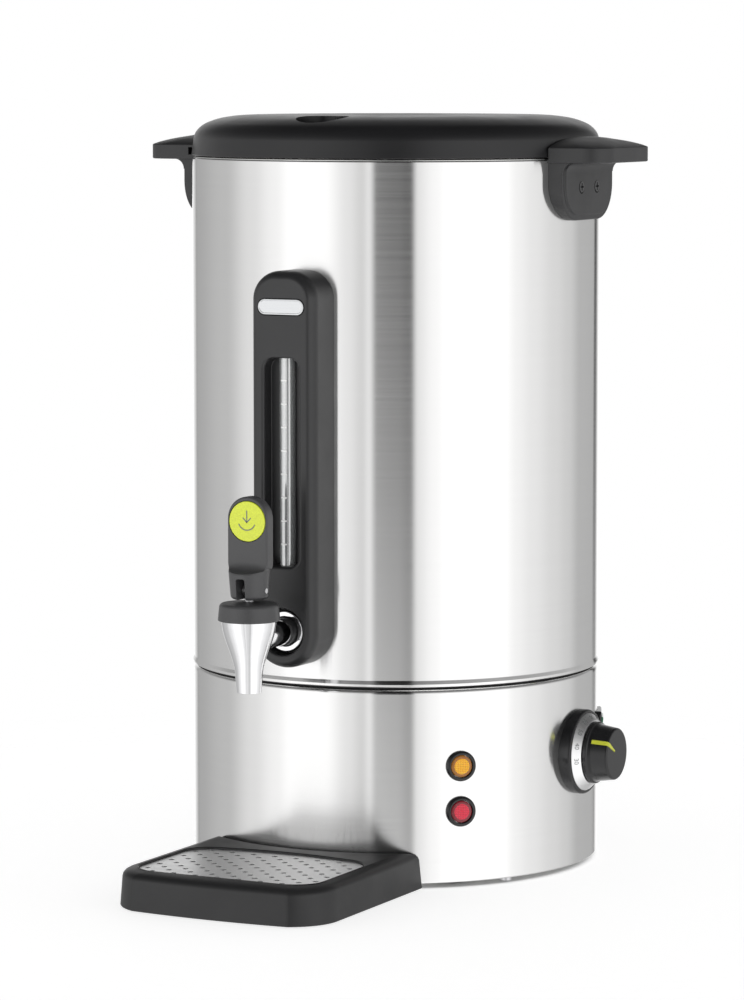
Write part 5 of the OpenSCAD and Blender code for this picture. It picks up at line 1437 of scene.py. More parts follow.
@dataclass
class Lever(Assembly):
    """Black lever: an upright paddle over a round skirt, with a stem slot and a coloured disc."""

    width: float = 25.7 * MM
    depth: float = 8 * MM
    lead: float = 2 * MM
    edge: float = 1.2 * MM
    heel_radius: float = 10.9 * MM
    heel_round: float = 2.5 * MM
    skirt_radius: float = 12.0 * MM
    skirt_shift: float = 0.6 * MM
    ledge_height: float = 15 * MM
    ledge_slope: float = 0.17
    ledge_way: tuple[Corner, ...] = (
        (0.008, 0.05, -0.15), (0.03, 0.12, 0.02), (0.15, 0.16, 0.04), (0.35, 0.20, 0.10),
        (0.55, 0.26, 0.17), (0.70, 0.36, 0.25), (0.80, 0.47, 0.34), (0.88, 0.60, 0.47),
        (0.95, 0.76, 0.65), (0.99, 0.89, 0.84), (1.0, 1.0, 1.0),
    )
    root_height: float = 21 * MM
    slot_width: float = 5.7 * MM
    slot_height: float = 12.4 * MM
    slot_corner: float = 1.4 * MM
    pin_bore: float = 1.55 * MM
    disc_gap: float = 0.45 * MM
    disc_depth: float = 1.2 * MM
    box: Span = box_of("lever")

    @property
    def place(self) -> Matrix:
        """Place of the lever's heel on the tap's axis."""
        return facing(0, self.box.low.z, -Span.of("tap_cap").centre.y)

    def sections(self) -> list[tuple[Point, Point]]:
        """Pair each point of the paddle's section with a point of a unit circle."""
        half, back = self.width / 2, self.lead - self.depth
        front_turn = math.acos(self.lead / self.skirt_radius)
        back_turn = math.acos(back / self.skirt_radius)
        pairs = []
        for x, y in box_outline(self.width, self.depth, self.edge, 8):
            out = y + self.lead - self.depth / 2
            across, along = abs(x) / half, (self.lead - out) / self.depth
            turn = (back_turn - front_turn) * along
            turn += front_turn * across if y >= 0 else front_turn + (math.pi - back_turn) * (1 - across)
            pairs.append(((x, out), (math.copysign(math.sin(turn), x), math.cos(turn))))
        return pairs

    def dense_sections(self, parts: int = 10) -> list[tuple[Point, Point]]:
        """Give the pairs of sections with the long edges divided."""
        pairs = self.sections()
        dense = []
        for (here, turn), (after, next_turn) in zip(pairs, pairs[1:] + pairs[:1]):
            count = parts if math.dist(here, after) > 3 * self.edge else 1
            angle = math.atan2(turn[0], turn[1])
            change = (math.atan2(next_turn[0], next_turn[1]) - angle + math.pi) % (2 * math.pi) - math.pi
            for i in range(count):
                t = i / count
                spot = (here[0] + (after[0] - here[0]) * t, here[1] + (after[1] - here[1]) * t)
                dense.append((spot, (math.sin(angle + change * t), math.cos(angle + change * t))))
        return dense

    def skirt(self) -> Piece:
        """Round skirt whose ledges run into the paddle's section."""
        skin = Skin(self.place)
        pairs = self.dense_sections()
        low = self.heel_round
        grow = (self.skirt_radius - self.heel_radius) / (self.ledge_height + 1.5 * MM - low)

        def rim(turn: Point) -> float:
            """Give the level at which the ledge starts, in one direction."""
            return self.ledge_height + self.ledge_slope * self.skirt_radius * (1 - abs(turn[1]))

        rings = []
        for x, y in arc((self.heel_radius - low, low), low, 270, 360, 6):
            rings.append(skin.ring((x * a, y, x * b - self.skirt_shift) for _, (a, b) in pairs))
        for i in range(1, 9):
            points = []
            for _, turn in pairs:
                level = low + (rim(turn) - 0.5 * MM - low) * i / 8
                radius = self.heel_radius + grow * (level - low)
                points.append((radius * turn[0], level, radius * turn[1] - self.skirt_shift))
            rings.append(skin.ring(points))
        for share, side_rise, rise in self.ledge_way:
            points = []
            for spot, turn in pairs:
                level = rim(turn)
                radius = self.heel_radius + grow * (level - low)
                facing_share = abs(turn[1])
                lift = side_rise + (rise - side_rise) * facing_share
                x = radius * turn[0] + (spot[0] - radius * turn[0]) * share
                start = radius * turn[1] - self.skirt_shift
                out = start + (spot[1] - start) * share
                points.append((x, level + (self.root_height - level) * lift, out))
            rings.append(skin.ring(points))
        skin.solid(rings)
        return skin.build("lever_skirt")

    def paddle_outline(self, inset: float) -> list[Point]:
        """Give the paddle's outline, drawn in by a distance; y is counted from the heel."""
        half, top = self.width / 2 - inset, self.box.size.z - inset
        low, bend = self.root_height, half - 0.02 * MM
        return soften([(-half, low, 0), (half, low, 0), (half, top, bend), (-half, top, bend)], True, 24)

    def build(self) -> list[Piece]:
        """Build the lever and its disc."""
        edge = self.edge
        steps = [(edge - x, self.lead - self.depth + edge - y) for x, y in arc((0, 0), edge, 90, 0, 6)]
        steps += round_edge(0, self.lead, edge, 6)
        paddle = tray_of_rings("lever_paddle", self.place, self.paddle_outline, steps)
        disc = Span.of("lever_disc")
        level, r = disc.centre.z - self.box.low.z, disc.size.x / 2
        spot, floor = self.place @ Matrix.Translation((0, level, 0)), self.lead - self.disc_depth
        carve(paddle, cylinder("seat", r + self.disc_gap, floor, self.lead + MM, spot))
        skirt = self.skirt()
        half, rise, corner = self.slot_width / 2, self.slot_height, self.slot_corner
        corners = [(-half, -MM, 0), (half, -MM, 0), (half, rise, corner), (-half, rise, corner)]
        slot = soften(corners, True, 10)
        pin = Span.of("lever_pin")
        across = facing(90, pin.centre.z) @ Matrix.Translation((pin.centre.y, 0, 0))
        carve(
            skirt, tray_of_rings("slot", self.place, lambda _: slot, [(0, -4.2 * MM), (0, 20 * MM)]),
            cylinder("bore", self.pin_bore, -30 * MM, 30 * MM, across, 32),
        )
        lever = join("lever_body", [skirt, paddle])
        dress(lever, LEVER_PLASTIC, "tap_lever", "gloss_black", ["lever"])
        back, front = -disc.high.y, -disc.low.y
        profile = soften([(0, back, 0), (r, back, 0), (r, front - 0.15 * MM, 0.5 * MM), (0, front, 0)])
        button = lathe("lever_button", profile, facing(0, disc.centre.z))
        dress(button, LIME, "tap_lever", replaces=["lever_disc"])
        return [lever, button, self.symbol(disc)]

    def symbol(self, disc: Span) -> Piece:
        """Printed arrow that points into an open bowl."""
        place = facing(0, disc.centre.z, -disc.low.y - 0.02 * MM)
        strokes = [
            [(0, 6.0), (0, -0.6)],
            [(-2.4, 1.9), (0, -0.6), (2.4, 1.9)],
            arc((0, 0.6), 5.6, 205, 335, 16),
        ]
        pieces = [
            stroke("stroke", [(x * MM, y * MM) for x, y in points], 0.62 * MM, 0.10 * MM, place)
            for points in strokes
        ]
        return dress(join("lever_symbol", pieces), GREY_PRINT, "tap_lever", slot="lime_plastic")


def stroke(
    name: str, points: Sequence[Point], width: float, height: float, place: Matrix, ends: int = 6
) -> Piece:
    """Lay a flat line of one width along points, with round ends.

    Args:
        name: Name of the piece.
        points: Points along the line.
        width: Width of the line.
        height: Thickness of the line.
        place: Place whose local XY plane takes the line.
        ends: Chords in each end's quarter.

    Returns:
        The new object.
    """
    left: list[Point] = []
    right: list[Point] = []
    count = len(points)
    for i, point in enumerate(points):
        before = Vector(points[max(i - 1, 0)])
        after = Vector(points[min(i + 1, count - 1)])
        here = Vector(point)
        first = (here - before).normalized() if i else (after - here).normalized()
        second = (after - here).normalized() if i + 1 < count else first
        normal = Vector((-(first + second).y, (first + second).x)).normalized()
        scale = width / 2 / max(0.35, normal.dot(Vector((-first.y, first.x))))
        left.append(tuple(here + normal * scale))
        right.append(tuple(here - normal * scale))
    tail, head = Vector(points[0]), Vector(points[-1])
    way_in = math.degrees(math.atan2(*reversed(Vector(points[1]) - tail)))
    way_out = math.degrees(math.atan2(*reversed(head - Vector(points[-2]))))
    start = arc(tuple(tail), width / 2, way_in + 90, way_in + 270, 2 * ends)[1:-1]
    end = arc(tuple(head), width / 2, way_out - 90, way_out + 90, 2 * ends)[1:-1]
    outline = right + end + list(reversed(left)) + start
    return tray_of_rings(name, place, lambda _: outline, [(0.0, 0.0), (0.0, height)])


@dataclass
class DripTray(Assembly):
    """Loose tray with soft edges, a ledge and a perforated plate."""

    width: float = 137 * MM
    height: float = 21 * MM
    crown: float = 2 * MM
    bow: float = 5 * MM
    corner: float = 26 * MM
    corner_turn: float = 72.0
    gap: float = 0.6 * MM
    grid_width: float = 116 * MM
    grid_depth: float = 80 * MM
    grid_corner: float = 17 * MM
    grid_bow: float = 4 * MM
    ledge: float = 3 * MM
    tongue_width: float = 80 * MM
    tongue_depth: float = 64 * MM
    wall: float = 2.2 * MM
    samples: int = 30
    crease: float = 50
    box: Span = box_of("drip_tray")

    def outer(self, inset: float) -> list[Point]:
        """Give the tray's plan, drawn in by a distance, with its back following the drum."""
        half = self.width / 2 - inset
        radius = self.corner - inset / 2
        drum = DRUM_RADIUS + self.gap + inset * 0.5
        front = self.box.low.y + inset
        bow = max(self.bow, 0.1 * MM)
        bow_radius = (half * half + bow * bow) / (2 * bow)
        side_back = -math.sqrt(drum * drum - half * half)
        shift = self.bow + radius - 1.4 * MM
        corner = arc((half - radius, front + shift), radius, 0, -self.corner_turn, self.samples)
        side_length = corner[0][1] - side_back
        side = [(half, side_back + side_length * i / self.samples) for i in range(self.samples)]
        edge_x = corner[-1][0]
        middle = []
        for i in range(1, self.samples + 1):
            x = edge_x * (1 - i / self.samples)
            middle.append((x, front + bow_radius - math.sqrt(bow_radius ** 2 - x * x)))
        edge_y = front + bow_radius - math.sqrt(bow_radius ** 2 - edge_x ** 2)
        drop = edge_y - corner[-1][1]
        corner = [(x, y + drop * (k / self.samples) ** 2) for k, (x, y) in enumerate(corner)]
        right = side + corner + middle
        left = [(-x, y) for x, y in reversed(right[:-1])]
        angle = math.asin(half / drum)
        turns = [-angle + 2 * angle * i / (2 * self.samples) for i in range(1, 2 * self.samples)]
        return right + left + [(drum * math.sin(a), -drum * math.cos(a)) for a in turns]

    def opening(self, grow: float) -> list[Point]:
        """Give the grid's outline, grown by a distance, sampled like the tray's plan."""
        centre = Span.of("drip_grid").low.y + self.grid_depth / 2
        half, depth = self.grid_width / 2 + grow, self.grid_depth / 2 + grow
        radius = self.grid_corner + grow
        n = self.samples

        def span(start: Point, end: Point, count: int) -> list[Point]:
            """Divide a line into count parts, without its end."""
            (x0, y0), (x1, y1) = start, end
            return [(x0 + (x1 - x0) * i / count, y0 + (y1 - y0) * i / count) for i in range(count)]

        front_corner = arc((half - radius, centre - depth + radius), radius, 0, -90, n)
        side = span((half, centre + depth - radius), (half, centre - depth + radius), n)
        middle = span((half - radius, centre - depth), (0, centre - depth), n)[1:] + [(0, centre - depth)]
        right = side + front_corner + middle
        left = [(-x, y) for x, y in reversed(right[:-1])]
        part, rear = n // 2, centre + depth
        back = arc((-half + radius, rear - radius), radius, 180, 90, part)[1:-1]
        count = 2 * (n - part)
        for i in range(count + 1):
            x = (-half + radius) * (1 - 2 * i / count)
            back.append((x, rear + self.grid_bow * (1 - (x / (half - radius)) ** 2)))
        return right + left + back + arc((half - radius, rear - radius), radius, 90, 0, part)[1:-1]

    def tray(self) -> Piece:
        """Tray with its rounded crown, ledge and basin."""
        skin = Skin()
        low, top = self.box.low.z, self.height
        grid = Span.of("drip_grid")
        foot, head, ledge, seat = low / MM, top / MM, -self.ledge / MM, grid.low.z - 0.1 * MM
        steps = [
            (0.9, foot), (0.3, foot + 0.3), (0.0, foot + 0.9), (1.1, head - 3.2), (1.5, head - 1.7),
            (2.4, head - 0.5), (3.9, head + 0.4), (6.0, head + 1.0), (8.4, head + 1.4),
        ]
        rings = [skin.flat_ring(self.outer(inset * MM), level * MM) for inset, level in steps]
        rise = top + self.crown - 0.2 * MM
        inner = [
            (1.3, rise), (0.7, rise - 0.15 * MM), (0.4, rise - 0.6 * MM), (0.4, seat),
            (ledge, seat), (ledge, 4.3 * MM), (ledge - 0.8, 3.5 * MM),
        ]
        rings += [skin.flat_ring(self.opening(grow * MM), level) for grow, level in inner]
        wall, basin, roof = self.wall, self.wall - self.ledge, grid.low.z - self.wall
        under = [
            (wall + 0.3 * MM, low), (wall + 1.1 * MM, top - 3.2 * MM - wall),
            (wall + 3.0 * MM, top - wall), (wall + 6.0 * MM, rise - wall - 0.4 * MM),
        ]
        below = [skin.flat_ring(self.outer(inset), level) for inset, level in under]
        hollow = [(0.4 * MM + wall, rise - wall), (0.4 * MM + wall, roof), (basin, roof), (basin, low)]
        below += [skin.flat_ring(self.opening(grow), level) for grow, level in hollow]
        skin.band(rings[0], below[0])
        skin.stack(rings)
        skin.stack(below)
        skin.cap(rings[-1])
        skin.cap(below[-1])
        tray = skin.build("tray_body", self.crease)
        tongue = tray_of_rings(
            "tongue", Matrix.Translation((0, -DRUM_RADIUS + 4 * MM, 0)),
            lambda inset: box_outline(
                self.tongue_width - 2 * inset, self.tongue_depth - 2 * inset, 2 * MM
            ),
            [(0.3 * MM, 1.0 * MM), (0, 1.3 * MM), (0, 2.7 * MM), (0.3 * MM, 3.0 * MM)],
        )
        carve(tray, tongue, mode="UNION", crease=self.crease)
        return dress(tray, BLACK_PLASTIC, "tray", replaces=["drip_tray"])

    def build(self) -> list[Piece]:
        """Build the tray; its plate is a node of the frame."""
        return [self.tray()]


@dataclass
class Knob(Assembly):
    """Thermostat knob with its bezel, conical dial and pointer."""

    face: float = 15.3 * MM
    skirt: float = 18.5 * MM
    shaft_bore: float = 3.1 * MM
    dial_bore: float = 6 * MM
    pointer_angle: float = 31.0
    pointer_width: float = 2.6 * MM
    figures: tuple[int, ...] = (30, 40, 50, 60, 70, 80, 90, 100, 110)
    first_figure: float = -7.5
    figure_step: float = 24.6
    figure_height: float = 2.9 * MM
    figure_scale: float = 1.35

    @property
    def axis(self) -> Matrix:
        """Place of the knob's axis."""
        return facing(Side.RIGHT.value, Span.of("knob").centre.z)

    def profile(self) -> list[Point]:
        """Give the knob's side from its skirt to the middle of its face."""
        box = Span.of("knob")
        low, tip = box.low.x, box.high.x
        return soften([
            (self.shaft_bore, low, 0), (self.skirt, low, 0.5 * MM),
            (self.skirt, low + 2.2 * MM, 0.7 * MM),
            (self.skirt - 1.0 * MM, low + 2.8 * MM, 0.5 * MM),
            (self.skirt - 1.6 * MM, low + 4.6 * MM, 1.0 * MM),
            (self.face + 0.1 * MM, tip, 1.6 * MM), (0, tip, 0),
        ], False, 8)

    def build(self) -> list[Piece]:
        """Build the bezel, dial, knob, pointer and figures."""
        bezel_box, dial_box = Span.of("knob_bezel"), Span.of("dial_ring")
        r, front = bezel_box.size.z / 2, bezel_box.high.x
        dial_r = dial_box.size.z / 2
        hole, back = dial_r + 0.1 * MM, DRUM_RADIUS - 4 * MM
        bezel = lathe("dial_bezel", soften([
            (hole, back, 0), (r, back, 0), (r, front, 1.6 * MM), (hole, front, 0.4 * MM),
        ], True, 8), self.axis, 128)
        carve(bezel, drum_plug(bezel_box.low.z - 5 * MM, bezel_box.high.z + 5 * MM))
        dress(bezel, GLOSS_BLACK, replaces=["knob_bezel"])
        dial = lathe("dial", soften([
            (self.dial_bore, dial_box.low.x, 0), (dial_r, dial_box.low.x, 0), (dial_r, front, 0.3 * MM),
            (self.skirt + 0.6 * MM, dial_box.high.x, 0.3 * MM), (self.dial_bore, dial_box.high.x, 0),
        ], True), self.axis, 128)
        dress(dial, DIAL, replaces=["dial_ring"])
        knob = lathe("knob_grip", self.profile(), self.axis, 128, closed=False)
        dress(knob, GLOSS_BLACK, "thermostat_knob", replaces=["knob"])
        return [bezel, dial, knob, self.pointer(), self.numbers(dial_r, front, dial_box.high.x)]

    def pointer(self) -> Piece:
        """Yellow stripe over the knob's side and face."""
        path = [p for p in self.profile() if p[0] > 4.2 * MM and p[1] > Span.of("knob").low.x + 4.4 * MM]
        path.append((4.4 * MM, path[-1][1]))
        skin = Skin(self.axis @ Matrix.Rotation(math.radians(180 - self.pointer_angle), 4, "Z"))
        rings = []
        count = len(path)
        for i, (radius, level) in enumerate(path):
            before, after = path[max(i - 1, 0)], path[min(i + 1, count - 1)]
            way = Vector((after[0] - before[0], after[1] - before[1])).normalized()
            out = Vector((way.y, -way.x))
            if out.dot(Vector((radius, level - path[0][1] + MM))) < 0:
                out = -out
            half = self.pointer_width / 2
            if i in (0, count - 1):
                half *= 0.45
            base = Vector((radius, level))
            under, over = base - out * 0.1 * MM, base + out * 0.28 * MM
            rings.append(skin.ring([
                (under.x, -half, under.y), (over.x, -half + 0.12 * MM, over.y),
                (over.x, half - 0.12 * MM, over.y), (under.x, half, under.y),
            ]))
        skin.solid(rings)
        stripe = skin.build("pointer_stripe", 30)
        return dress(stripe, YELLOW, "thermostat_knob", replaces=["knob_pointer"])

    def numbers(self, dial_r: float, low: float, high: float) -> Piece:
        """Make the plain figures on the dial's cone.

        Args:
            dial_r: Outer radius of the dial.
            low: Level of the dial's outer edge.
            high: Level of its inner edge.

        Returns:
            All figures as one dressed object.
        """
        inner = self.skirt + 0.6 * MM
        slope = math.atan2(high - low, dial_r - inner)
        middle = (dial_r + inner) / 2
        level = (low + high) / 2
        pieces = []
        for i, figure in enumerate(self.figures):
            curve = bpy.data.curves.new("figure", "FONT")
            curve.body = str(figure)
            curve.size = self.figure_height * self.figure_scale
            curve.align_x = "CENTER"
            curve.align_y = "CENTER"
            curve.extrude = 0.03 * MM
            text = add_object("figure", curve)
            turn = 180 - (self.first_figure + self.figure_step * i)
            text.matrix_world = (
                self.axis @ Matrix.Rotation(math.radians(turn), 4, "Z")
                @ Matrix.Translation((middle, 0, level))
                @ Matrix.Rotation(slope, 4, "Y") @ Matrix.Rotation(math.radians(90), 4, "Z")
            )
            bpy.context.view_layer.update()
            mesh = evaluated_mesh(text)
            mesh.transform(text.matrix_world)
            bpy.data.objects.remove(text)
            bpy.data.curves.remove(curve)
            pieces.append(add_object("figure", mesh))
        return dress(join("dial_figures", pieces), GREY_PRINT, slot="dial_aluminium")


@dataclass
class Rocker(Assembly):
    """Mains switch: black frame and a two-winged green rocker with its marks."""

    azimuth: float = 114.0
    frame_width: float = 25 * MM
    frame_height: float = 32 * MM
    frame_rise: float = 2.5 * MM
    opening_width: float = 19 * MM
    opening_height: float = 26 * MM
    tilt: float = 9.0
    button_width: float = 17.2 * MM

    def build(self) -> list[Piece]:
        """Build the frame, the button and its two marks."""
        level = Span.of("rocker_frame").centre.z
        place = facing(self.azimuth, level)
        body = self.frame(place, level)
        turned = Matrix.Rotation(math.radians(-self.tilt), 4, "X")
        swing = place @ Matrix.Translation((0, 0, DRUM_RADIUS - 3 * MM)) @ turned
        return [body, self.button(swing), self.marks(swing)]

    def frame(self, place: Matrix, level: float) -> Piece:
        """Black frame with its opening, cut to the drum."""
        steps = [(0.0, DRUM_RADIUS - 4 * MM)]
        steps += round_edge(0, DRUM_RADIUS + self.frame_rise, 1.2 * MM, 6)

        def outline(inset: float) -> list[Point]:
            """Give the frame's outline, drawn in by a distance."""
            width, height = self.frame_width - 2 * inset, self.frame_height - 2 * inset
            return box_outline(width, height, 2.5 * MM - inset * 0.8)

        body = tray_of_rings("switch_frame", place, outline, steps)
        hole = tray_of_rings(
            "hole", place, lambda _: box_outline(self.opening_width, self.opening_height, MM),
            [(0, DRUM_RADIUS - 8 * MM), (0, DRUM_RADIUS + 8 * MM)],
        )
        carve(body, hole, drum_plug(level - self.frame_height, level + self.frame_height))
        return dress(body, GLOSS_BLACK, replaces=["rocker_frame"])

    def button(self, swing: Matrix) -> Piece:
        """Green rocker with a hollow between its two wings."""
        half, tip = self.button_width / 2, 11.6 * MM
        section = soften([
            (-4.0 * MM, -11 * MM, 0.3 * MM), (1.6 * MM, -tip, 0.5 * MM), (8.6 * MM, -11.2 * MM, 0.9 * MM),
            (5.6 * MM, 0, 14 * MM), (8.6 * MM, 11.2 * MM, 0.9 * MM), (1.6 * MM, tip, 0.5 * MM),
            (-4.0 * MM, 11 * MM, 0.3 * MM),
        ], True, 8)
        skin = Skin(swing)
        sides = (
            (-half, 0.4), (-half + 0.15 * MM, 0.12), (-half + 0.4 * MM, 0.0), (half - 0.4 * MM, 0.0),
            (half - 0.15 * MM, 0.12), (half, 0.4),
        )
        rings = []
        for x, inset in sides:
            scale = 1 - inset * MM / tip
            rings.append(skin.ring((x, y * scale, z * scale) for z, y in section))
        skin.solid(rings)
        return dress(skin.build("switch_rocker"), GREEN, "rocker", replaces=["rocker_button"])

    @staticmethod
    def marks(swing: Matrix) -> Piece:
        """Printed stroke and ring on the rocker's wings."""
        lean = math.atan2(3.0, 11.2)
        pieces = []
        for sign, shape in ((1, [(0, -1.7), (0, 1.7)]), (-1, arc((0, 0), 1.6, 90, 450, 24))):
            leant = Matrix.Rotation(sign * lean, 4, "X")
            spot = swing @ Matrix.Translation((0, sign * 6.2 * MM, 7.3 * MM)) @ leant
            points = [(x * MM, y * MM) for x, y in shape]
            pieces.append(stroke("mark", points, 0.6 * MM, 0.12 * MM, spot))
        return dress(join("switch_marks", pieces), WHITE_PRINT, "rocker", slot="green_lens")


@dataclass
class Lamps(Assembly):
    """Two pilot lamps with bezels and prism lenses."""

    azimuth: float = 44.5
    lens_radius: float = 6.4 * MM
    core_radius: float = 4.6 * MM
    bezel_radius: float = 9.0 * MM
    dome: float = 0.9 * MM

    def lens(self, node: str, finish: Finish, core: Finish) -> list[Piece]:
        """Make a domed lens and its core.

        Args:
            node: The frame's node of the lens.
            finish: Finish of the dome.
            core: Finish of the core, with the prisms.

        Returns:
            The dome and the core.
        """
        level, r = Span.of(node).centre.z, self.lens_radius
        edge, back, hidden = DRUM_RADIUS + 1.6 * MM, DRUM_RADIUS - 2.8 * MM, r + 0.15 * MM
        profile = [(0, back), (hidden, back), (hidden, edge - 0.3 * MM)]
        for turn in (math.radians(7.5 * i) for i in range(13)):
            profile.append((r * math.cos(turn), edge + self.dome * math.sin(turn)))
        dome = lathe(f"{node}_dome", profile, facing(self.azimuth, level))
        top = edge + self.dome
        face = [
            (0, top - 0.5 * MM), (self.core_radius, top - 0.5 * MM), (self.core_radius, top - 0.1 * MM),
            (self.core_radius - 0.3 * MM, top), (0, top),
        ]
        lit = lathe(f"{node}_core", face, facing(self.azimuth, level), 64)
        return [dress(dome, finish, replaces=[node]), dress(lit, core, slot=finish.name)]

    def bezels(self) -> Piece:
        """Two black bezels, cut to the drum."""
        box = Span.of("lamp_bezels")
        outer, inner, back = self.bezel_radius, self.lens_radius + 0.3 * MM, DRUM_RADIUS - 2 * MM
        profile = soften([
            (inner, back, 0), (outer, back, 0), (outer, DRUM_RADIUS + 2.6 * MM, 1.7 * MM),
            (inner, DRUM_RADIUS + 2.4 * MM, 0.5 * MM),
        ], True, 8)
        rings = []
        for level in (box.low.z + outer, box.high.z - outer):
            ring = lathe("bezel", profile, facing(self.azimuth, level))
            rings.append(carve(ring, drum_plug(level - 2 * outer, level + 2 * outer)))
        return dress(join("lamp_rings", rings), GLOSS_BLACK, replaces=["lamp_bezels"])

    def build(self) -> list[Piece]:
        """Build the bezels and both lenses."""
        amber = self.lens("lamp_lens_amber", AMBER, AMBER_CORE)
        return [self.bezels(), *amber, *self.lens("lamp_lens_red", RED, RED_CORE)]


@dataclass
class FrameNodes(Assembly):
    """Nodes of the frame that keep their own shape and get a finish."""

    finishes: dict[str, Finish] = field(default_factory=lambda: {
        "bottom_plate": TANK_STEEL, "feet": RUBBER, "plate_screws": ZINC, "tie_rods": ZINC,
        "heating_plate": ALUMINIUM, "heating_element": ZINC, "thermal_cutout": CREAM,
        "terminal_block": CREAM, "cable_gland": BLACK_PLASTIC, "gland_locknut": BLACK_PLASTIC,
        "lid_screws": ZINC, "handle_screws": BLACK_SCREW, "handle_nuts": ZINC, "panel_screw": ZINC,
        "gauge_fitting_lower": NICKEL, "gauge_fitting_upper": NICKEL, "gauge_seals": SILICONE,
        "gauge_nuts": NICKEL, "tap_shank": CHROME, "tap_washers": SILICONE, "tank_nut": ZINC,
        "valve_stem": ZINC, "seat_cup": SILICONE, "tap_spring": ZINC, "lever_pin": ZINC,
        "drip_grid": GRID_STEEL, "thermostat_body": CREAM, "sensor_line": COPPER,
        "thermostat_shaft": ZINC, "switch_body": GLOSS_BLACK, "lamp_bodies": CREAM,
    })

    def build(self) -> list[Piece]:
        """Put each node's finish into its material slots."""
        dressed = []
        for name, finish in self.finishes.items():
            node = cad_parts[name]
            for place in node.material_slots:
                place.material = finish.material()
            dressed.append(node)
        return dressed


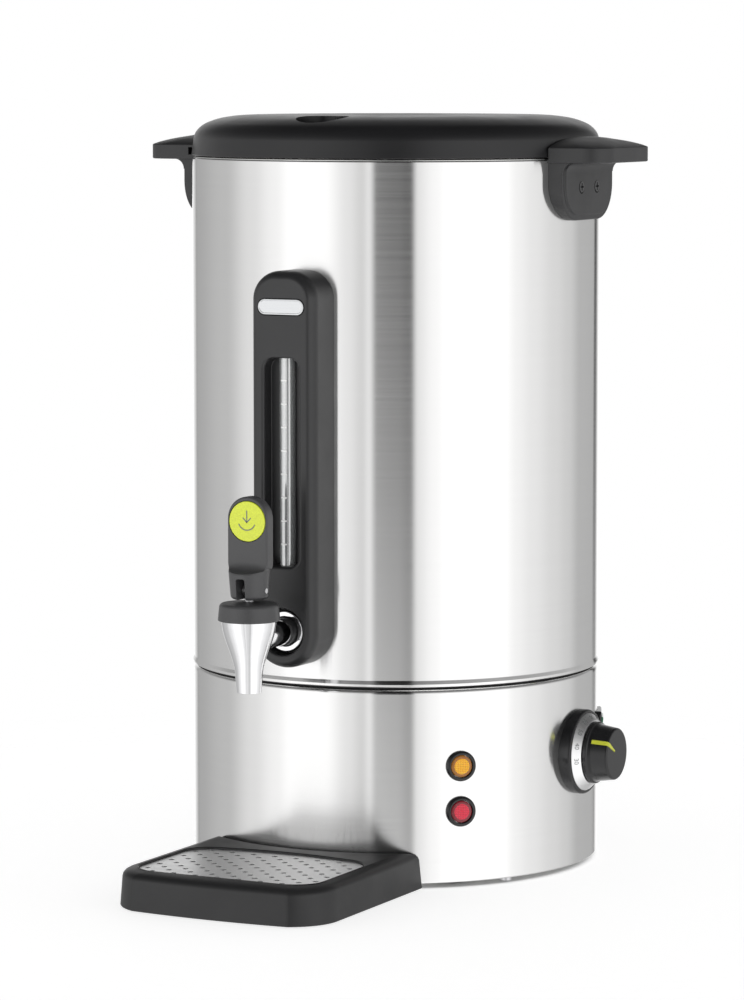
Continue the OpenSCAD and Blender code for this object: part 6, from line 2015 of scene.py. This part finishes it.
@dataclass
class Studio:
    """Camera, pale floor and soft light.

    The world has two rows of bands, one above the other. The field rows gives each row's levels
    behind the boiler and in the dark gap, and row_change the elevations where they blend.
    """

    eye: tuple[float, float, float] = (1.1308, -2.2613, 0.4764)
    target: tuple[float, float, float] = (-0.0130, -0.0066, 0.21625)
    focal: float = 4180.4
    sensor: float = 36.0
    frame_height: int = 1000
    floor_radius: float = 0.62
    floor_fade: float = 0.30
    floor_glow: float = 0.74
    # Painted shadow: between these radii the floor's glow fades out towards the base, so the floor is
    # dark under the drum.
    dark_radius: float = 0.116
    lit_radius: float = 0.124
    rows: tuple[tuple[float, ...], ...] = ((0.05, 0.12, 0.08, 0.04), (0.50, 0.84, 0.78, 0.62))
    row_change: Point = (-2.8, -10.8)
    glossy_heights: tuple[Point, ...] = (
        (-90, 1.0), (8, 1.0), (16, 0.60), (25, 0.32), (40, 0.14), (60, 0.07), (90, 0.08),
    )
    soft_heights: tuple[Point, ...] = (
        (-90, 1.5), (10, 1.5), (25, 0.96), (40, 0.38), (60, 0.15), (90, 0.15),
    )

    def camera(self) -> None:
        """Make the camera at the photograph's place."""
        data = bpy.data.cameras.new("camera")
        data.sensor_width = self.sensor
        data.lens = self.focal * self.sensor / self.frame_height
        data.clip_start, data.clip_end = 0.05, 50.0
        camera = add_object("camera", data)
        camera.location = self.eye
        way = Vector(self.target) - Vector(self.eye)
        camera.rotation_euler = way.to_track_quat("-Z", "Y").to_euler()
        bpy.context.scene.camera = camera

    def floor(self) -> None:
        """Make the pale floor, whose glow is cut out under the base as a painted shadow, and which fades
        out at its edge.
        """
        floor = lathe("floor", [(0, 0), (self.floor_radius, 0)], segments=128, closed=False)
        nodes = Nodes("floor")
        nodes.shade(Base_Color=(0.55, 0.55, 0.55, 1), Roughness=0.9, Specular_IOR_Level=0.1)
        nodes.shade(Emission_Color=(1, 1, 1, 1))
        place = nodes.add("ShaderNodeTexCoord")
        far = nodes.add("ShaderNodeVectorMath", operation="LENGTH")
        nodes.feed(place.outputs["Object"], far.inputs[0])
        distance = far.outputs["Value"]
        # Painted shadow: no glow under the base, full glow beyond it.
        lit = nodes.map_range(
            distance, From_Min=self.dark_radius, From_Max=self.lit_radius, To_Min=0.0, To_Max=1.0,
            interpolation_type="SMOOTHSTEP",
        )
        glow = nodes.work_out("MULTIPLY", nodes.seen(self.floor_glow), lit)
        nodes.feed(glow, nodes.shader.inputs["Emission Strength"])
        fade = nodes.map_range(
            distance, From_Min=self.floor_fade, From_Max=self.floor_radius - 0.02, To_Min=1.0, To_Max=0.0,
            interpolation_type="SMOOTHSTEP",
        )
        path = nodes.add("ShaderNodeLightPath")
        direct = nodes.work_out("SUBTRACT", 1.0, path.outputs["Is Glossy Ray"])
        nodes.feed(nodes.work_out("MULTIPLY", fade, direct), nodes.shader.inputs["Alpha"])
        floor.data.materials.append(nodes.material)

    def world(self) -> None:
        """White surroundings whose soft boxes leave darker gaps between them."""
        world = bpy.data.worlds.new("studio")
        world.use_nodes = True
        bpy.context.scene.world = world
        graph = Graph(world.node_tree)
        back = graph.tree.nodes["Background"]
        place = graph.add("ShaderNodeTexCoord")
        split = graph.add("ShaderNodeSeparateXYZ")
        graph.feed(place.outputs["Generated"], split.inputs[0])
        x, y, z = split.outputs
        azimuth = graph.work_out("ARCTAN2", x, graph.work_out("MULTIPLY", y, -1.0))
        share = graph.map_range(azimuth, From_Min=-math.pi, From_Max=math.pi)
        rise = graph.map_range(z, From_Min=-1.0, From_Max=1.0)
        upper, lower = (self.bands(graph, share, *levels) for levels in self.rows)
        heights, soft = (
            self.ramp(graph, rise, stops, lambda elevation: (math.sin(math.radians(elevation)) + 1) / 2)
            for stops in (self.glossy_heights, self.soft_heights)
        )
        start, end = (math.sin(math.radians(elevation)) for elevation in self.row_change)
        below = graph.map_range(z, From_Min=start, From_Max=end)
        mixed = graph.work_out("MULTIPLY", graph.choose(below, upper, lower), heights)
        path = graph.add("ShaderNodeLightPath")
        glossy = graph.choose(path.outputs["Is Glossy Ray"], soft, mixed)
        back.inputs["Color"].default_value = (1, 1, 1, 1)
        graph.feed(graph.choose(path.outputs["Is Camera Ray"], glossy, 1.0), back.inputs["Strength"])

    def bands(
        self, graph: Graph, share: Socket, rear: float, near: float, middle: float, far: float
    ) -> Socket:
        """Make a row of bright and dark bands round the boiler.

        Args:
            graph: The world's nodes.
            share: Azimuth as a share of the turn from straight behind the boiler.
            rear: Level straight behind the boiler.
            near: Level in the dark gap, where it starts near the tap's side.
            middle: Level in the middle of the gap.
            far: Level at the gap's end towards +X.

        Returns:
            The level; the azimuths count from the tap towards +X.
        """
        return self.ramp(graph, share, [
            (-180, rear), (-176, 0.32), (-172, 0.90), (-165, 1.15), (-148, 1.20), (-141, 1.00),
            (-133, 0.72), (-127.5, 0.37), (-124, 0.45), (-85, 0.60), (-62, 0.90), (-45, 1.12),
            (-35, 1.30), (-14, 1.30), (0, 0.98), (8, 0.80), (12, 1.04), (15.5, near), (27, middle),
            (35, far), (38, 0.98), (48, 1.20), (56, 1.35), (88, 1.35), (99, 1.12), (109, 1.00),
            (128, 0.84), (140, 0.74), (154, 0.54), (175.5, 0.50), (178.5, rear),
        ], lambda azimuth: (azimuth + 180) / 360)

    @staticmethod
    def ramp(
        graph: Graph, share: Socket, stops: Sequence[Point], place: Callable[[float], float]
    ) -> Socket:
        """Make a ramp of grey levels.

        Args:
            graph: The world's nodes.
            share: Place along the ramp, from 0 to 1.
            stops: Angle and level of each stop.
            place: Gives an angle's place along the ramp.

        Returns:
            The level.
        """
        node = graph.add("ShaderNodeValToRGB")
        node.color_ramp.interpolation = "EASE"
        elements = node.color_ramp.elements
        while len(elements) < len(stops):
            elements.new(0.5)
        for element, (angle, _) in zip(elements, stops):
            element.position = place(angle)
        for element, (_, level) in zip(elements, stops):
            element.color = (level, level, level, 1)
        graph.feed(share, node.inputs["Fac"])
        return node.outputs["Color"]

    def build(self) -> None:
        """Make the camera, the floor and the light."""
        scene = bpy.context.scene
        scene.view_settings.view_transform = "Standard"
        self.camera()
        self.floor()
        self.world()


def main() -> None:
    logging.basicConfig(level=logging.INFO, format="%(name)s: %(message)s")
    Studio().build()
    assemblies: list[Assembly] = [
        FrameNodes(), Shells(), Lid(), Handle(Side.RIGHT), Handle(Side.LEFT), FrontPanel(), SightGlass(),
        Tap(), Lever(), DripTray(), Knob(), Rocker(), Lamps(),
    ]
    for assembly in assemblies:
        for piece in assembly.build():
            log.info("%s built %s", type(assembly).__name__, piece.name)


if __name__ == "__main__":
    main()
